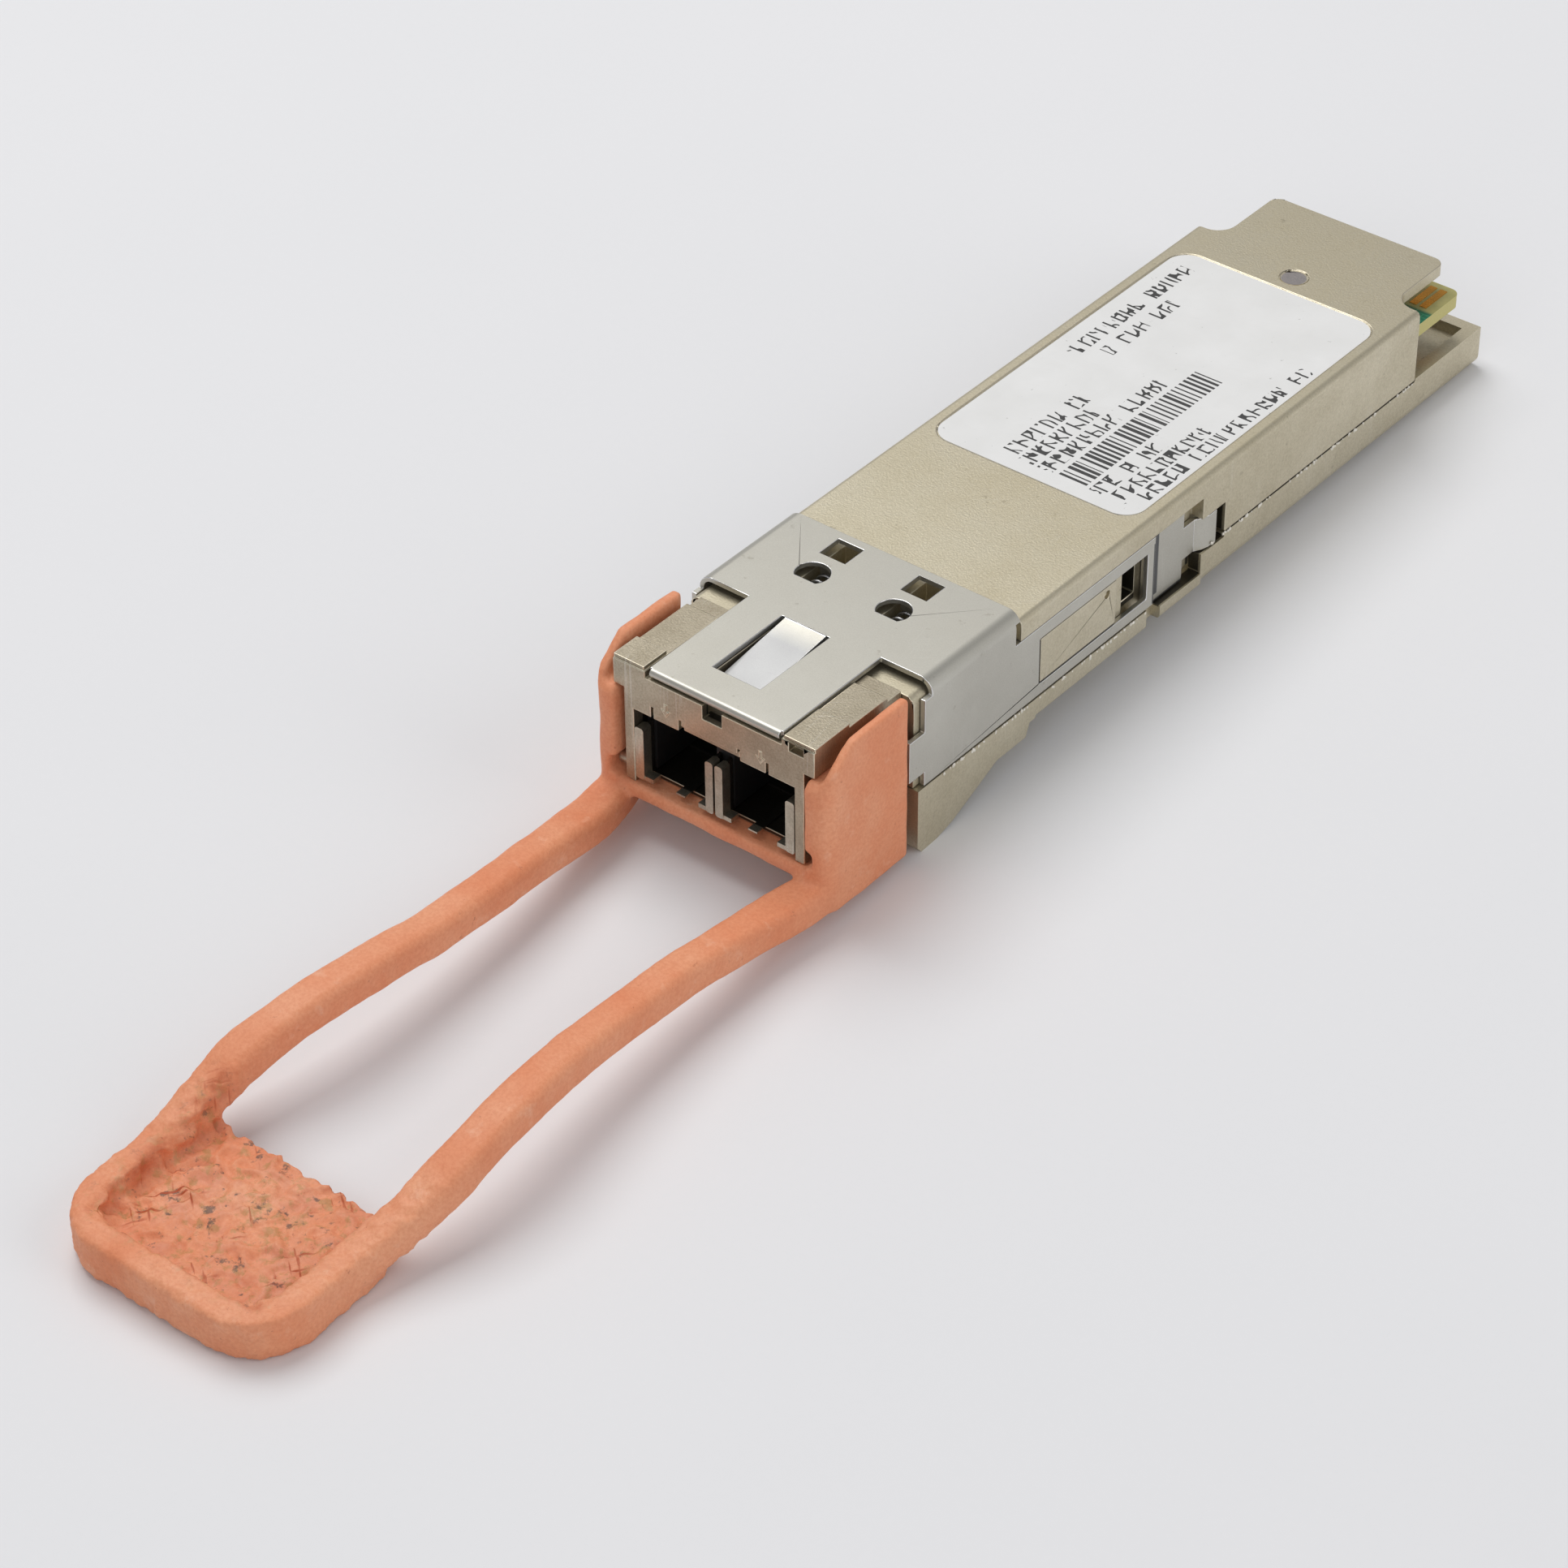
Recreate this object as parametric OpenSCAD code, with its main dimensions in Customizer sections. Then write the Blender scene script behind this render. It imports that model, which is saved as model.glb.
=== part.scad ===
// Pluggable optical transceiver module with a duplex port, a sliding latch and a moulded pull tab.
// Millimetres. +X is right seen from the ports, +Y is the way the module goes into its cage, +Z is up.
// Y = 0 is the latch shoulder plane and Z = 0 is the flat underside that slides in the cage.
// Inside each module, Y is counted from the port face and from_face() moves it to the shoulder plane.

/* [Body] */
// Width of the body that slides in the cage
body_w = 18.35; // [18.2:0.05:18.5]
// Height of the body that slides in the cage
body_h = 8.5; // [8.4:0.05:8.6]
// Length from the port face to the end of the rear shelf
total_len = 72.4; // [71.5:0.1:73.5]
// Port face to the rear wall of the top housing
wall_y = 64.0; // [63.5:0.1:64.5]
// Port face to the latch shoulder plane
shoulder_y = 33.3; // [33.0:0.1:33.6]
// Radius of the long edges on top of the body
edge_r = 0.45; // [0.3:0.05:0.6]
// Radius of the long edges under the body
belly_r = 0.85; // [0.5:0.05:1.0]

/* [Ports] */
// Distance between the two port axes
port_pitch = 6.2; // [6.1:0.05:6.3]
// Height of the port axes above the underside
port_z = 3.05; // [3.0:0.01:3.1]
// Bore radius of a ferrule sleeve
ferrule_r = 0.63; // [0.626:0.002:0.64]
// Half width of the nose beside the ports
nose_x = 7.05; // [7.0:0.01:7.1]
// Half width of the blocks on top of the nose
block_x = 7.85; // [7.7:0.05:7.9]

/* [Latch slider] */
// Sheet thickness of the slider
sheet_t = 0.35; // [0.3:0.05:0.4]
// Top face of the slider
slider_top = 9.15; // [9.1:0.05:9.25]
// Half width of the tongue plate over the ports
tongue_x = 5.2; // [5.0:0.1:5.25]
// How far the slider travels
travel = 2.6; // [2.4:0.1:2.6]
// Sideways offset of the stop tongue and the two springs
slot_shift = -0.4; // [-0.5:0.1:0]

/* [Pull tab] */
// Front end of the grip, in front of the port face
grip_reach = 47.8; // [46:0.2:50]
// Half width of the grip
grip_x = 8.65; // [7.5:0.05:8.8]
// How far the soft tab lies to one side at the grip
sway = -1.55; // [-1.7:0.05:0]
// Thickness of the grip rim
grip_t = 3.1; // [2.8:0.1:3.3]
// Slope of the surface that the foot, the shelf and the grip lie on
stance_deg = 3.05; // [2.9:0.05:3.2]

/* [Board] */
// Width of the card edge
card_w = 16.4; // [16.3:0.02:16.5]
// Thickness of the circuit board
board_t = 1.0; // [0.9:0.05:1.0]
// Contacts on each face of the card edge
contact_count = 19; // [15:1:19]

/* [Hidden] */
$fn = 48;

body_x = body_w / 2;          // half width of the body
front_y = 8.5;                // front faces of both housings
face_part_z = 1.5;            // parting line in front of the latch pocket
rear_part_z = 2.9;            // parting line behind the latch pocket
step_y = 38.6;                // where the parting line steps up
wrap_y = 18.8;                // rear edge of the slider wrap
arm_top = 6.9;                // upper edge of a slider arm
arm_low = 1.6;                // lower edge of a slider arm
window_y = [20.9, 32.5];      // arm window along Y
window_z = [2.45, 5.95];      // arm window along Z
tip_z = [2.65, 5.2];          // height of an arm's flared tip
tip_y = 38.4;                 // where the flare of the tip starts
slider_x = body_x - 0.02;     // outer side face of the slider
gap = 0.05;                   // running gap between the slider and the housing
inner_x = 8.3;                // inner face of the arm behind the shoulder
floor_z = 0.9;                // inner floor of the bottom housing
ceiling_z = 7.5;              // inner ceiling of the top housing
low_ceiling_z = 6.1;          // inner ceiling under the spring channels
front_cavity_x = 7.35;        // half width of the cavity beside the latch recesses
rear_cavity_x = 8.35;         // half width of the cavity round the card
cavity_step_y = 43;           // where the cavity widens
port_low = 0.45;              // lower edge of the port opening
port_high = 5.7;              // upper edge of the port opening
port_x = 6.3;                 // half width of the port opening
board_z = 5.3;                // lower face of the board
board_y = [24, 70.9];         // board along Y
seam = 0.08;                  // gap along the parting line
spring_dx = 3.2;              // half distance between the springs
spring_y = [10.45, 15.85];    // spring along Y at rest
spring_z = 7.55;              // height of the spring axes
spring_turns = 7;             // turns in a spring
coil_r = 0.62;                // radius of a spring's coil line
wire_r = 0.12;                // radius of the spring wire
screw_xy = [[5.9, 27.5], [6.9, 60]];  // housing screws on the right, mirrored on the left
contact_pitch = 0.8;          // pitch of the card edge contacts
foot_z = -3.4;                // lowest line of the foot under the front
block_y = 7.45;               // rear face of the pull tab's side walls
wall_in = nose_x + 0.35;      // inner face of the pull tab's side walls
wall_thin = 8.5;              // inner face of their thin upper parts
wall_out = 9.25;              // outer face of the pull tab's side walls
ledge_z = 6.95;               // where the side walls get thin, just under the blocks on the nose

// The arm as [y, x, z, half width, half height], from inside the side wall to the grip's rim.
arm_line = [[5, 8.3, -1.55, 0.9, 1.2], [2, 8.2, -1.55, 1.0, 1.2], [-1, 7.8, -1.65, 1.4, 1.15],
    [-3, 7.5, -1.65, 1.45, 1.15], [-6, 7.3, -1.35, 1.3, 1.2], [-9, 7.15, -1.05, 1.27, 1.2],
    [-12, 7.0, -0.85, 1.25, 1.22], [-18, 7.0, -0.55, 1.25, 1.2], [-21, 7.15, -0.3, 1.27, 1.22],
    [-24, 7.35, -0.15, 1.32, 1.22], [-27, 7.65, -0.2, 1.35, 1.2], [-30, 7.95, -0.8, 1.35, 1.22],
    [-33, 8.2, -1.75, 1.35, 1.28], [-36, 8.0, -3.0, 1.28, 1.3], [-39, 7.7, -3.95, 1.18, 1.25],
    [-42, 7.6, -4.5, 1.0, 1.2], [-43.4, 7.6, -4.6, 0.9, 1.1]];

module from_face() { translate([0, -shoulder_y, 0]) children(); }
module both() { children(); mirror([1, 0, 0]) children(); }

// A box between two corners.
module span(x, y, z) {
    translate([x[0], y[0], z[0]]) cube([x[1] - x[0], y[1] - y[0], z[1] - z[0]]);
}

// Extrudes an outline in X and Z from one Y to another.
module along_y(y) {
    translate([0, y[1], 0]) rotate([90, 0, 0]) linear_extrude(y[1] - y[0]) children();
}

// Extrudes an outline in Y and Z from one X to another.
module along_x(x) {
    translate([x[0], 0, 0]) rotate([90, 0, 90]) linear_extrude(x[1] - x[0]) children();
}

// A rectangle whose corners are rounded by r, in any plane.
module soft_rect(x, y, r) {
    translate([x[0] + r, y[0]]) square([x[1] - x[0] - 2 * r, y[1] - y[0]]);
    translate([x[0], y[0] + r]) square([x[1] - x[0], y[1] - y[0] - 2 * r]);
    for (px = [x[0] + r, x[1] - r], py = [y[0] + r, y[1] - r]) translate([px, py]) circle(r);
}

// A section that is square below and rounded at its two upper corners.
module arch(half_w, low, high, r) {
    translate([-half_w, low]) square([2 * half_w, high - low - r]);
    translate([r - half_w, low]) square([2 * (half_w - r), high - low]);
    for (side = [-1, 1]) translate([side * (half_w - r), high - r]) circle(r);
}

// A section that is square above and rounded at its two lower corners.
module keel(half_w, low, high, r) {
    translate([0, low + high]) mirror([0, 1]) arch(half_w, low, high, r);
}

// ---- Housings ----

module rear_tab() {
    tab_x = 7.0;
    tab_y = 70.5;
    tab_low = 7.6;
    fillet_r = 1.5;
    translate([0, 0, tab_low]) linear_extrude(body_h - tab_low) {
        soft_rect([-tab_x, tab_x], [wall_y - 3, tab_y], 0.8);
        for (side = [-1, 1]) scale([side, 1]) difference() {
            translate([tab_x - 0.1, wall_y - 0.1]) square(fillet_r + 0.1);
            translate([tab_x + fillet_r, wall_y + fillet_r]) circle(fillet_r);
        }
    }
}

// The recesses that one slider arm runs in, cut from the right side.
module arm_recess() {
    outside = body_x + 1;
    floor_x = slider_x - sheet_t - gap;
    difference() {
        span([floor_x, outside], [wrap_y + gap, step_y], [face_part_z - 1, arm_top + gap]);
        window_boss();
    }
    deep_y = shoulder_y - sheet_t - travel - 0.1;
    span([inner_x - gap, outside], [deep_y, step_y], [face_part_z - 1, arm_top + gap]);
    span([inner_x - 0.4, outside], [step_y - 0.1, 41.2], [face_part_z, tip_z[1] + 0.1]);
}

// The boss that fills the front of the arm window and guides the arm.
module window_boss() {
    y = [window_y[0] + 0.03, window_y[1] - travel - 0.5];
    z = [window_z[0] + 0.07, window_z[1] - 0.07];
    x = [8.0, slider_x];
    bevel = 0.35;
    difference() {
        span(x, y, z);
        translate([x[1], y[1], 0]) rotate([0, 0, 45]) cube([bevel * 1.5, bevel * 1.5, 20], center = true);
        translate([x[1], y[1] - 1.3, z[1] - 0.6]) rotate([0, 90, 0])
            cylinder(h = 0.6, r = 0.28, center = true);
    }
}

module spring_channel() {
    span([-0.85, 0.85], [spring_y[0] - gap, wrap_y - 0.2], [6.6, body_h + 1]);
}

module screw_bosses() {
    both() for (p = screw_xy) translate([p[0], p[1], floor_z])
        cylinder(h = ceiling_z - floor_z + gap, r = 1.3);
}

module screw_bores(r, z) {
    both() for (p = screw_xy) translate([p[0], p[1], z[0]]) cylinder(h = z[1] - z[0], r = r);
}

module top_housing() {
    wrap_x = slider_x - sheet_t - gap;
    wrap_top = body_h - 0.1;
    color([0.76, 0.73, 0.68]) from_face() {
        difference() {
            union() {
                along_y([front_y, wrap_y + 0.1]) arch(wrap_x, face_part_z + seam, wrap_top, 0.65);
                along_y([wrap_y + gap, step_y]) arch(body_x, face_part_z + seam, body_h, edge_r);
                along_y([step_y - 0.1, wall_y]) arch(body_x, rear_part_z + seam, body_h, edge_r);
                rear_tab();
            }
            both() arm_recess();
            // Slot behind the window boss, open to the inside.
            both() span([front_cavity_x - 0.1, body_x], [30.3, 32.3], [2.75, 5.7]);
            // Inside.
            span([-front_cavity_x, front_cavity_x], [0, wrap_y + 0.7], [0, low_ceiling_z]);
            span([-front_cavity_x, front_cavity_x], [wrap_y, cavity_step_y], [0, ceiling_z]);
            span([-rear_cavity_x, rear_cavity_x], [cavity_step_y - 0.1, wall_y - 1], [0, ceiling_z]);
            span([-rear_cavity_x, rear_cavity_x], [wall_y - 2, wall_y + 1], [0, board_z + board_t + 0.1]);
            // Channels for the return springs and the relief over the stop tongue.
            for (side = [-1, 1]) translate([slot_shift + side * spring_dx, 0, 0]) spring_channel();
            span([slot_shift - 1.85, slot_shift + 1.85], [0, 9.9], [7.9, body_h + 1]);
            // Label recess and the moulding mark behind it.
            translate([0, 0, body_h - 0.12]) linear_extrude(1) soft_rect([-8.2, 8.2], [31.8, 60.7], 1.7);
            translate([0, 62.4, body_h - 0.06]) cylinder(h = 1, r = 1.0);
        }
        difference() {
            screw_bosses();
            screw_bores(0.72, [0, ceiling_z - 0.8]);
        }
    }
}

// Profile of the foot and belly under the front, in Y and Z.
foot_outline = [[front_y, face_part_z], [front_y, foot_z + 0.5], [front_y + 0.4, foot_z],
    [10.1, foot_z], [12.0, -2.95], [14.1, -2.05], [16.6, -0.95], [19.6, -0.95], [20.0, 0],
    [20.6, 0], [20.6, face_part_z]];

module bottom_housing() {
    shelf_z = 3.1;
    tray_z = 2.3;
    rim = 0.95;
    sill_z = 1.0;
    color([0.74, 0.71, 0.66]) from_face() difference() {
        union() {
            along_x([-body_x, body_x]) polygon(foot_outline);
            along_y([20.3, step_y + 0.1]) keel(body_x, 0, face_part_z, 0.3);
            along_y([step_y, wall_y + 0.1]) keel(body_x, 0, rear_part_z, belly_r);
            along_y([wall_y + gap, total_len]) keel(body_x, 0, shelf_z, belly_r);
        }
        span([-front_cavity_x, front_cavity_x], [0, cavity_step_y], [floor_z, 5]);
        span([-rear_cavity_x, rear_cavity_x], [cavity_step_y - 0.1, wall_y - 1], [floor_z, 5]);
        span([-body_x + rim, body_x - rim], [wall_y, total_len - rim], [tray_z, 5]);
        // Latch pocket sill and the relief in front of it.
        both() span([8.0, 12], [shoulder_y + 0.4, step_y], [sill_z, 5]);
        both() span([8.5, 12], [shoulder_y - 0.7, shoulder_y + 0.8], [-0.1, 5]);
        both() span([inner_x - gap, inner_x + sheet_t + gap],
            [shoulder_y - travel - 0.2, shoulder_y + 0.5], [sill_z, 5]);
        both() span([inner_x - 0.4, 12], [step_y - 0.1, 41.2], [tip_z[0] - 0.1, 5]);
        screw_bores(1.4, [-1, 0.55]);
        screw_bores(0.8, [-1, 5]);
    }
    color([0.74, 0.71, 0.66]) from_face() both()
        span([7.45, 8.3], [cavity_step_y + 2, 57], [floor_z - 0.1, board_z]);
}

// ---- Receptacle ----

// A raised arrow over a port.
module flow_mark() {
    along_y([-0.06, 0.2]) translate([3.7, 6.3]) polygon([[-0.3, 0.45], [0, 0], [0.3, 0.45], [0.1, 0.45],
        [0.1, 0.9], [-0.1, 0.9], [-0.1, 0.45]]);
}

module receptacle_nose() {
    bed_z = slider_top - sheet_t - 0.1;
    color([0.78, 0.76, 0.72]) from_face() difference() {
        union() {
            along_y([0, front_y - 0.1]) soft_rect([-nose_x, nose_x], [0.1, bed_z], 0.1);
            span([-block_x, block_x], [0, front_y - 0.1], [ledge_z + 0.1, bed_z + 0.25]);
            span([-block_x, -5.45], [0.1, 2.3], [8, slider_top + 0.05]);
            span([5.45, block_x], [0.1, 3.4], [8, slider_top + 0.05]);
            along_y([front_y - 0.2, 13]) soft_rect([-7.25, 7.25], [1.0, 6.0], 0.3);
            both() flow_mark();
        }
        // Bed under the tongue plate and the pocket that stops the tongue.
        span([-tongue_x - 0.12, tongue_x + 0.12], [-1, front_y], [bed_z, 20]);
        span([slot_shift - 1.85, slot_shift + 1.85], [0.6, front_y], [7.5, 20]);
        span([-tongue_x - 0.12, tongue_x + 0.12], [-1, 0.9], [8.5, 20]);
        span([-9, 9], [9.8 - travel - 0.1, front_y], [bed_z, 20]);
        // Port opening, with its floor set back from the face.
        span([-port_x, port_x], [-1, front_y - 0.4], [port_low, port_high]);
        span([-port_x, port_x], [-1, 1.1], [0, port_high]);
        span([-port_x, port_x], [front_y - 0.5, 14], [1.45, 5.55]);
        // Key notch and the small steps along the rim over the ports.
        span([-0.8, 0.7], [-1, 0.7], [7.5, 8.6]);
        // Notch in the corner of the right block.
        span([5.9, 7.0], [-1, 0.6], [8.25, 8.9]);
        for (x = [-4.9, -2.7, 1.9, 4.1]) span([x, x + 0.2], [-1, 0.4], [5, 6.5]);
        span([-2.6, 1.9], [-1, 0.25], [5, 6.15]);
        // Gasket groove and pin holes.
        difference() {
            span([-8, 8], [9.4, 10.6], [0.5, 6.5]);
            span([-7.0, 7.0], [9, 11], [1.15, 5.85]);
        }
        both() translate([6.75, 0.65, 1.1]) rotate([0, 90, 0]) cylinder(h = 2, r = 0.46);
    }
}

module nose_pins() {
    color([0.8, 0.79, 0.76]) from_face()
        both() translate([6.8, 0.65, 1.1]) rotate([0, 90, 0]) cylinder(h = 0.98, r = 0.45);
}

// Sheet-metal lining of the right port: two hemmed sides joined by a floor strip.
module port_clip() {
    hem_y = [0, 0.75];
    clip_z = [port_low + 0.03, 4.4];
    for (x = [[0.08, 0.68], [5.58, 6.26]]) {
        translate([0, hem_y[1], 0]) mirror([0, 1, 0]) along_y([0, hem_y[1]])
            soft_rect(x, clip_z, 0.2);
    }
    for (x = [[0.3, 0.5], [5.76, 5.96]]) span(x, [0.5, 6.2], clip_z);
    span([0.3, 5.96], [4.4, 5.6], [clip_z[0], clip_z[0] + 0.2]);
    for (x = [[0.5, 1.3], [4.9, 5.8]]) span(x, [0.05, 0.75], [clip_z[0], clip_z[0] + 0.32]);
    span([2.5, 3.2], [0.2, 5.6], [clip_z[0], clip_z[0] + 0.12]);
}

module left_port_clip() { color([0.82, 0.8, 0.76]) from_face() mirror([1, 0, 0]) port_clip(); }
module right_port_clip() { color([0.82, 0.8, 0.76]) from_face() port_clip(); }

module receptacle_insert() {
    cavity_x = [0.7, 5.5];
    color([0.08, 0.08, 0.09]) from_face() difference() {
        span([-port_x + gap, port_x - gap], [1.2, 8.05], [port_low + gap, port_high - gap]);
        both() {
            span(cavity_x, [0, 7], [0.75, 5.3]);
            span([1.7, 4.5], [0, 6], [5, 5.5]);
            translate([port_pitch / 2, 0, port_z]) rotate([-90, 0, 0]) cylinder(h = 20, r = 1.25);
            for (x = [0.27, 5.73]) span([x, x + 0.26], [0, 6.3], [port_low - 1, 4.45]);
            span([0.2, 6.1], [0, 5.7], [0, port_low + 0.3]);
        }
    }
}

module ferrule_sleeve() {
    rotate([-90, 0, 0]) difference() {
        cylinder(h = 6.4, r = 1.2);
        translate([0, 0, -1]) cylinder(h = 9, r = ferrule_r);
    }
}

// An optical package: flanged barrel round the sleeve, then a box of the given length.
module optical_package(box_len) {
    difference() {
        union() {
            translate([0, 8.6, 0]) rotate([-90, 0, 0]) cylinder(h = 1.0, r = 1.55);
            translate([0, 9.5, 0]) rotate([-90, 0, 0]) cylinder(h = 3.4, r = 1.45);
            span([-2.55, 2.55], [12.8, 12.8 + box_len], [1.5 - port_z, 5.45 - port_z]);
        }
        translate([0, 8, 0]) rotate([-90, 0, 0]) cylinder(h = 3.0, r = 1.21);
    }
}

module transmit_sleeve() {
    color("gainsboro") from_face() translate([-port_pitch / 2, 4.6, port_z]) ferrule_sleeve();
}

module receive_sleeve() {
    color("gainsboro") from_face() translate([port_pitch / 2, 4.6, port_z]) ferrule_sleeve();
}

module transmit_package() {
    color([0.83, 0.68, 0.38]) from_face() translate([-port_pitch / 2, 0, port_z]) optical_package(6.4);
}

module receive_package() {
    color([0.83, 0.68, 0.38]) from_face() translate([port_pitch / 2, 0, port_z]) optical_package(4.6);
}

// A flex circuit that rises from the back of a package to the underside of the board.
module flex(start_y) {
    t = 0.12;
    low = 3.2;
    high = board_z - t;
    along_x([-1.9, 1.9]) polygon([[start_y, low], [start_y + 0.8, low], [22.6, high],
        [26, high], [26, high + t], [22.4, high + t], [start_y + 0.7, low + t], [start_y, low + t]]);
}

module transmit_flex() { color([0.75, 0.5, 0.15]) from_face() translate([-port_pitch / 2, 0, 0]) flex(19.2); }
module receive_flex() { color([0.75, 0.5, 0.15]) from_face() translate([port_pitch / 2, 0, 0]) flex(17.4); }

module shield_gasket() {
    color([0.3, 0.3, 0.32]) from_face() along_y([9.45, 10.55]) difference() {
        soft_rect([-7.33, 7.33], [0.92, 6.08], 0.3);
        soft_rect([-7.0, 7.0], [1.15, 5.85], 0.05);
    }
}

// ---- Board ----

module circuit_board() {
    narrow_x = 7.1;
    corner_r = 0.7;
    color([0.05, 0.42, 0.32]) from_face() translate([0, 0, board_z]) linear_extrude(board_t) difference() {
        union() {
            translate([-narrow_x, board_y[0]]) square([2 * narrow_x, 30]);
            soft_rect([-card_w / 2, card_w / 2], [cavity_step_y + 0.6, board_y[1]], corner_r);
        }
        for (side = [-1, 1], p = screw_xy) translate([side * p[0], p[1]]) circle(1.45);
    }
}

module contact_row(z) {
    for (i = [0 : contact_count - 1]) {
        x = (i - (contact_count - 1) / 2) * contact_pitch;
        span([x - 0.27, x + 0.27], [67.6, 70.3], z);
    }
}

module top_contacts() {
    color([0.9, 0.65, 0.25]) from_face() contact_row([board_z + board_t, board_z + board_t + 0.04]);
}

module bottom_contacts() {
    color([0.9, 0.65, 0.25]) from_face() contact_row([board_z - 0.04, board_z]);
}

module top_chip(x, y) { span(x, y, [board_z + board_t, 7.0]); }
module driver_chip() { color([0.1, 0.1, 0.11]) from_face() top_chip([-5.2, -1.4], [31, 35]); }
module receiver_chip() { color([0.1, 0.1, 0.11]) from_face() top_chip([1.4, 5.2], [31, 35]); }
module gap_pad(x) { span(x, [31.2, 34.8], [7, ceiling_z]); }
module driver_thermal_pad() { color([0.6, 0.75, 0.85]) from_face() gap_pad([-5, -1.6]); }
module receiver_thermal_pad() { color([0.6, 0.75, 0.85]) from_face() gap_pad([1.6, 5]); }

module controller_chip() {
    color([0.1, 0.1, 0.11]) from_face() span([-3, 3], [46, 52], [board_z - 0.9, board_z]);
}

module board_passives() {
    color([0.72, 0.62, 0.5]) from_face() for (row = [0 : 3], i = [0 : 6]) {
        x = (i - 3) * 1.7;
        y = 39 + row * 4.2;
        span([x - 0.25, x + 0.25], [y, y + 1], [board_z + board_t, board_z + board_t + 0.5]);
    }
}

module label() {
    color("white") from_face() translate([0, 0, body_h - 0.12]) linear_extrude(0.08)
        soft_rect([-8.1, 8.1], [31.9, 60.6], 1.6);
}

module housing_screws() {
    color([0.55, 0.55, 0.57]) from_face() both() for (p = screw_xy) translate([p[0], p[1], 0.05])
        difference() {
            union() {
                cylinder(h = 0.5, r = 1.3);
                cylinder(h = 6.2, r = 0.7);
            }
            for (turn = [0, 90]) rotate([0, 0, turn]) cube([1.4, 0.3, 0.6], center = true);
        }
}

// ---- Latch slider and springs ----

// Right side: wrap side, arm with its window, shoulder, inner plate and flared tip.
module slider_side() {
    out = slider_x;
    in = slider_x - sheet_t;
    difference() {
        span([in, out], [wrap_y - 1, shoulder_y], [arm_low, arm_top]);
        along_x([in - 1, out + 1]) soft_rect(window_y, window_z, 0.12);
    }
    span([inner_x, out], [shoulder_y - 0.35, shoulder_y], [arm_low, arm_top]);
    span([inner_x, inner_x + sheet_t], [shoulder_y - 0.1, tip_y - 1.2], [1.15, arm_top]);
    span([inner_x, inner_x + sheet_t], [tip_y - 1.3, tip_y + 0.1], tip_z);
    translate([0, 0, tip_z[0]]) linear_extrude(tip_z[1] - tip_z[0])
        polygon([[inner_x, tip_y], [inner_x + sheet_t, tip_y], [8.93, tip_y + 0.5],
            [out - 0.05, tip_y + 1.1], [out - 0.05, tip_y + 1.9], [8.8, tip_y + 1.9],
            [8.78, tip_y + 1.2], [8.6, tip_y + 0.75]]);
    // Tail that runs forward into the pull tab's side wall.
    span([in, out], [block_y + 0.3, 9.3], [2.65, 5.7]);
    span([inner_x, out], [block_y + 0.15, block_y + 0.5], [2.65, 5.7]);
    span([inner_x, inner_x + sheet_t], [2.2, block_y + 0.4], [2.65, 5.7]);
}

module spring_tab_window() {
    span([-1.0, 1.0], [16.2, 18.1], [8, 10]);
    intersection() {
        translate([0, 14.2, 8]) cylinder(h = 2, r = 1.15);
        span([-1.15, 1.15], [13.4, 16], [7, 11]);
    }
}

module latch_slider() {
    low = slider_top - sheet_t;
    lip_r = 0.3;
    color([0.76, 0.77, 0.78]) from_face() {
        difference() {
            union() {
                along_y([9.1, wrap_y]) difference() {
                    arch(slider_x, arm_low, slider_top, 1.0);
                    arch(slider_x - sheet_t, arm_low - 1, low, 0.65);
                }
                span([-tongue_x, tongue_x], [0.4, 11], [low, slider_top]);
                translate([0, 0.4, slider_top - lip_r]) rotate([0, 90, 0])
                    cylinder(h = 2 * tongue_x - 0.3, r = lip_r, center = true);
            }
            for (side = [-1, 1]) translate([slot_shift + side * spring_dx, 0, 0]) spring_tab_window();
            both() span([tongue_x, 12], [8, 9.84], [8.1, 10]);
            both() span([slider_x - 0.8, 12], [wrap_y - 0.45, wrap_y + 1], [arm_top, 8.45]);
            span([slot_shift - 1.85, slot_shift + 1.85], [2.8, 9.5], [8, 10]);
        }
        // Stop tongue, bent down towards the ports.
        translate([slot_shift, 9.6, slider_top - sheet_t / 2]) rotate([7.1, 0, 0])
            translate([-1.6, -6.35, -sheet_t / 2]) cube([3.2, 6.35, sheet_t]);
        for (side = [-1, 1]) translate([slot_shift + side * spring_dx, 0, 0])
            span([-0.75, 0.75], [spring_y[1], spring_y[1] + sheet_t], [6.85, low + 0.1]);
        both() slider_side();
    }
}

// Points on a ring of the wire at angle a along the helix.
function helix_point(a, pitch) = [coil_r * cos(a), pitch * a / 360, coil_r * sin(a)];

// A solid through a list of rings of points, all with the same number of points.
module tube(rings) {
    n = len(rings);
    m = len(rings[0]);
    polyhedron(
        points = [for (r = rings) for (p = r) p],
        faces = concat(
            [[for (j = [0 : m - 1]) j]],
            [for (i = [0 : n - 2]) for (j = [0 : m - 1])
                [i * m + j, (i + 1) * m + j, (i + 1) * m + (j + 1) % m, i * m + (j + 1) % m]],
            [[for (j = [m - 1 : -1 : 0]) (n - 1) * m + j]]),
        convexity = 8);
}

module return_spring() {
    length = spring_y[1] - spring_y[0] - 2 * wire_r - 0.04;
    pitch = length / spring_turns;
    steps = 14;
    sides = 6;
    rings = [for (i = [0 : steps * spring_turns])
        let (a = i * 360 / steps, c = helix_point(a, pitch))
        [for (j = [0 : sides - 1]) let (b = 360 * j / sides)
            [c[0] + wire_r * cos(b) * cos(a), c[1] + wire_r * sin(b), c[2] + wire_r * cos(b) * sin(a)]]];
    translate([0, spring_y[0] + wire_r + 0.02, spring_z]) tube(rings);
}

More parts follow.
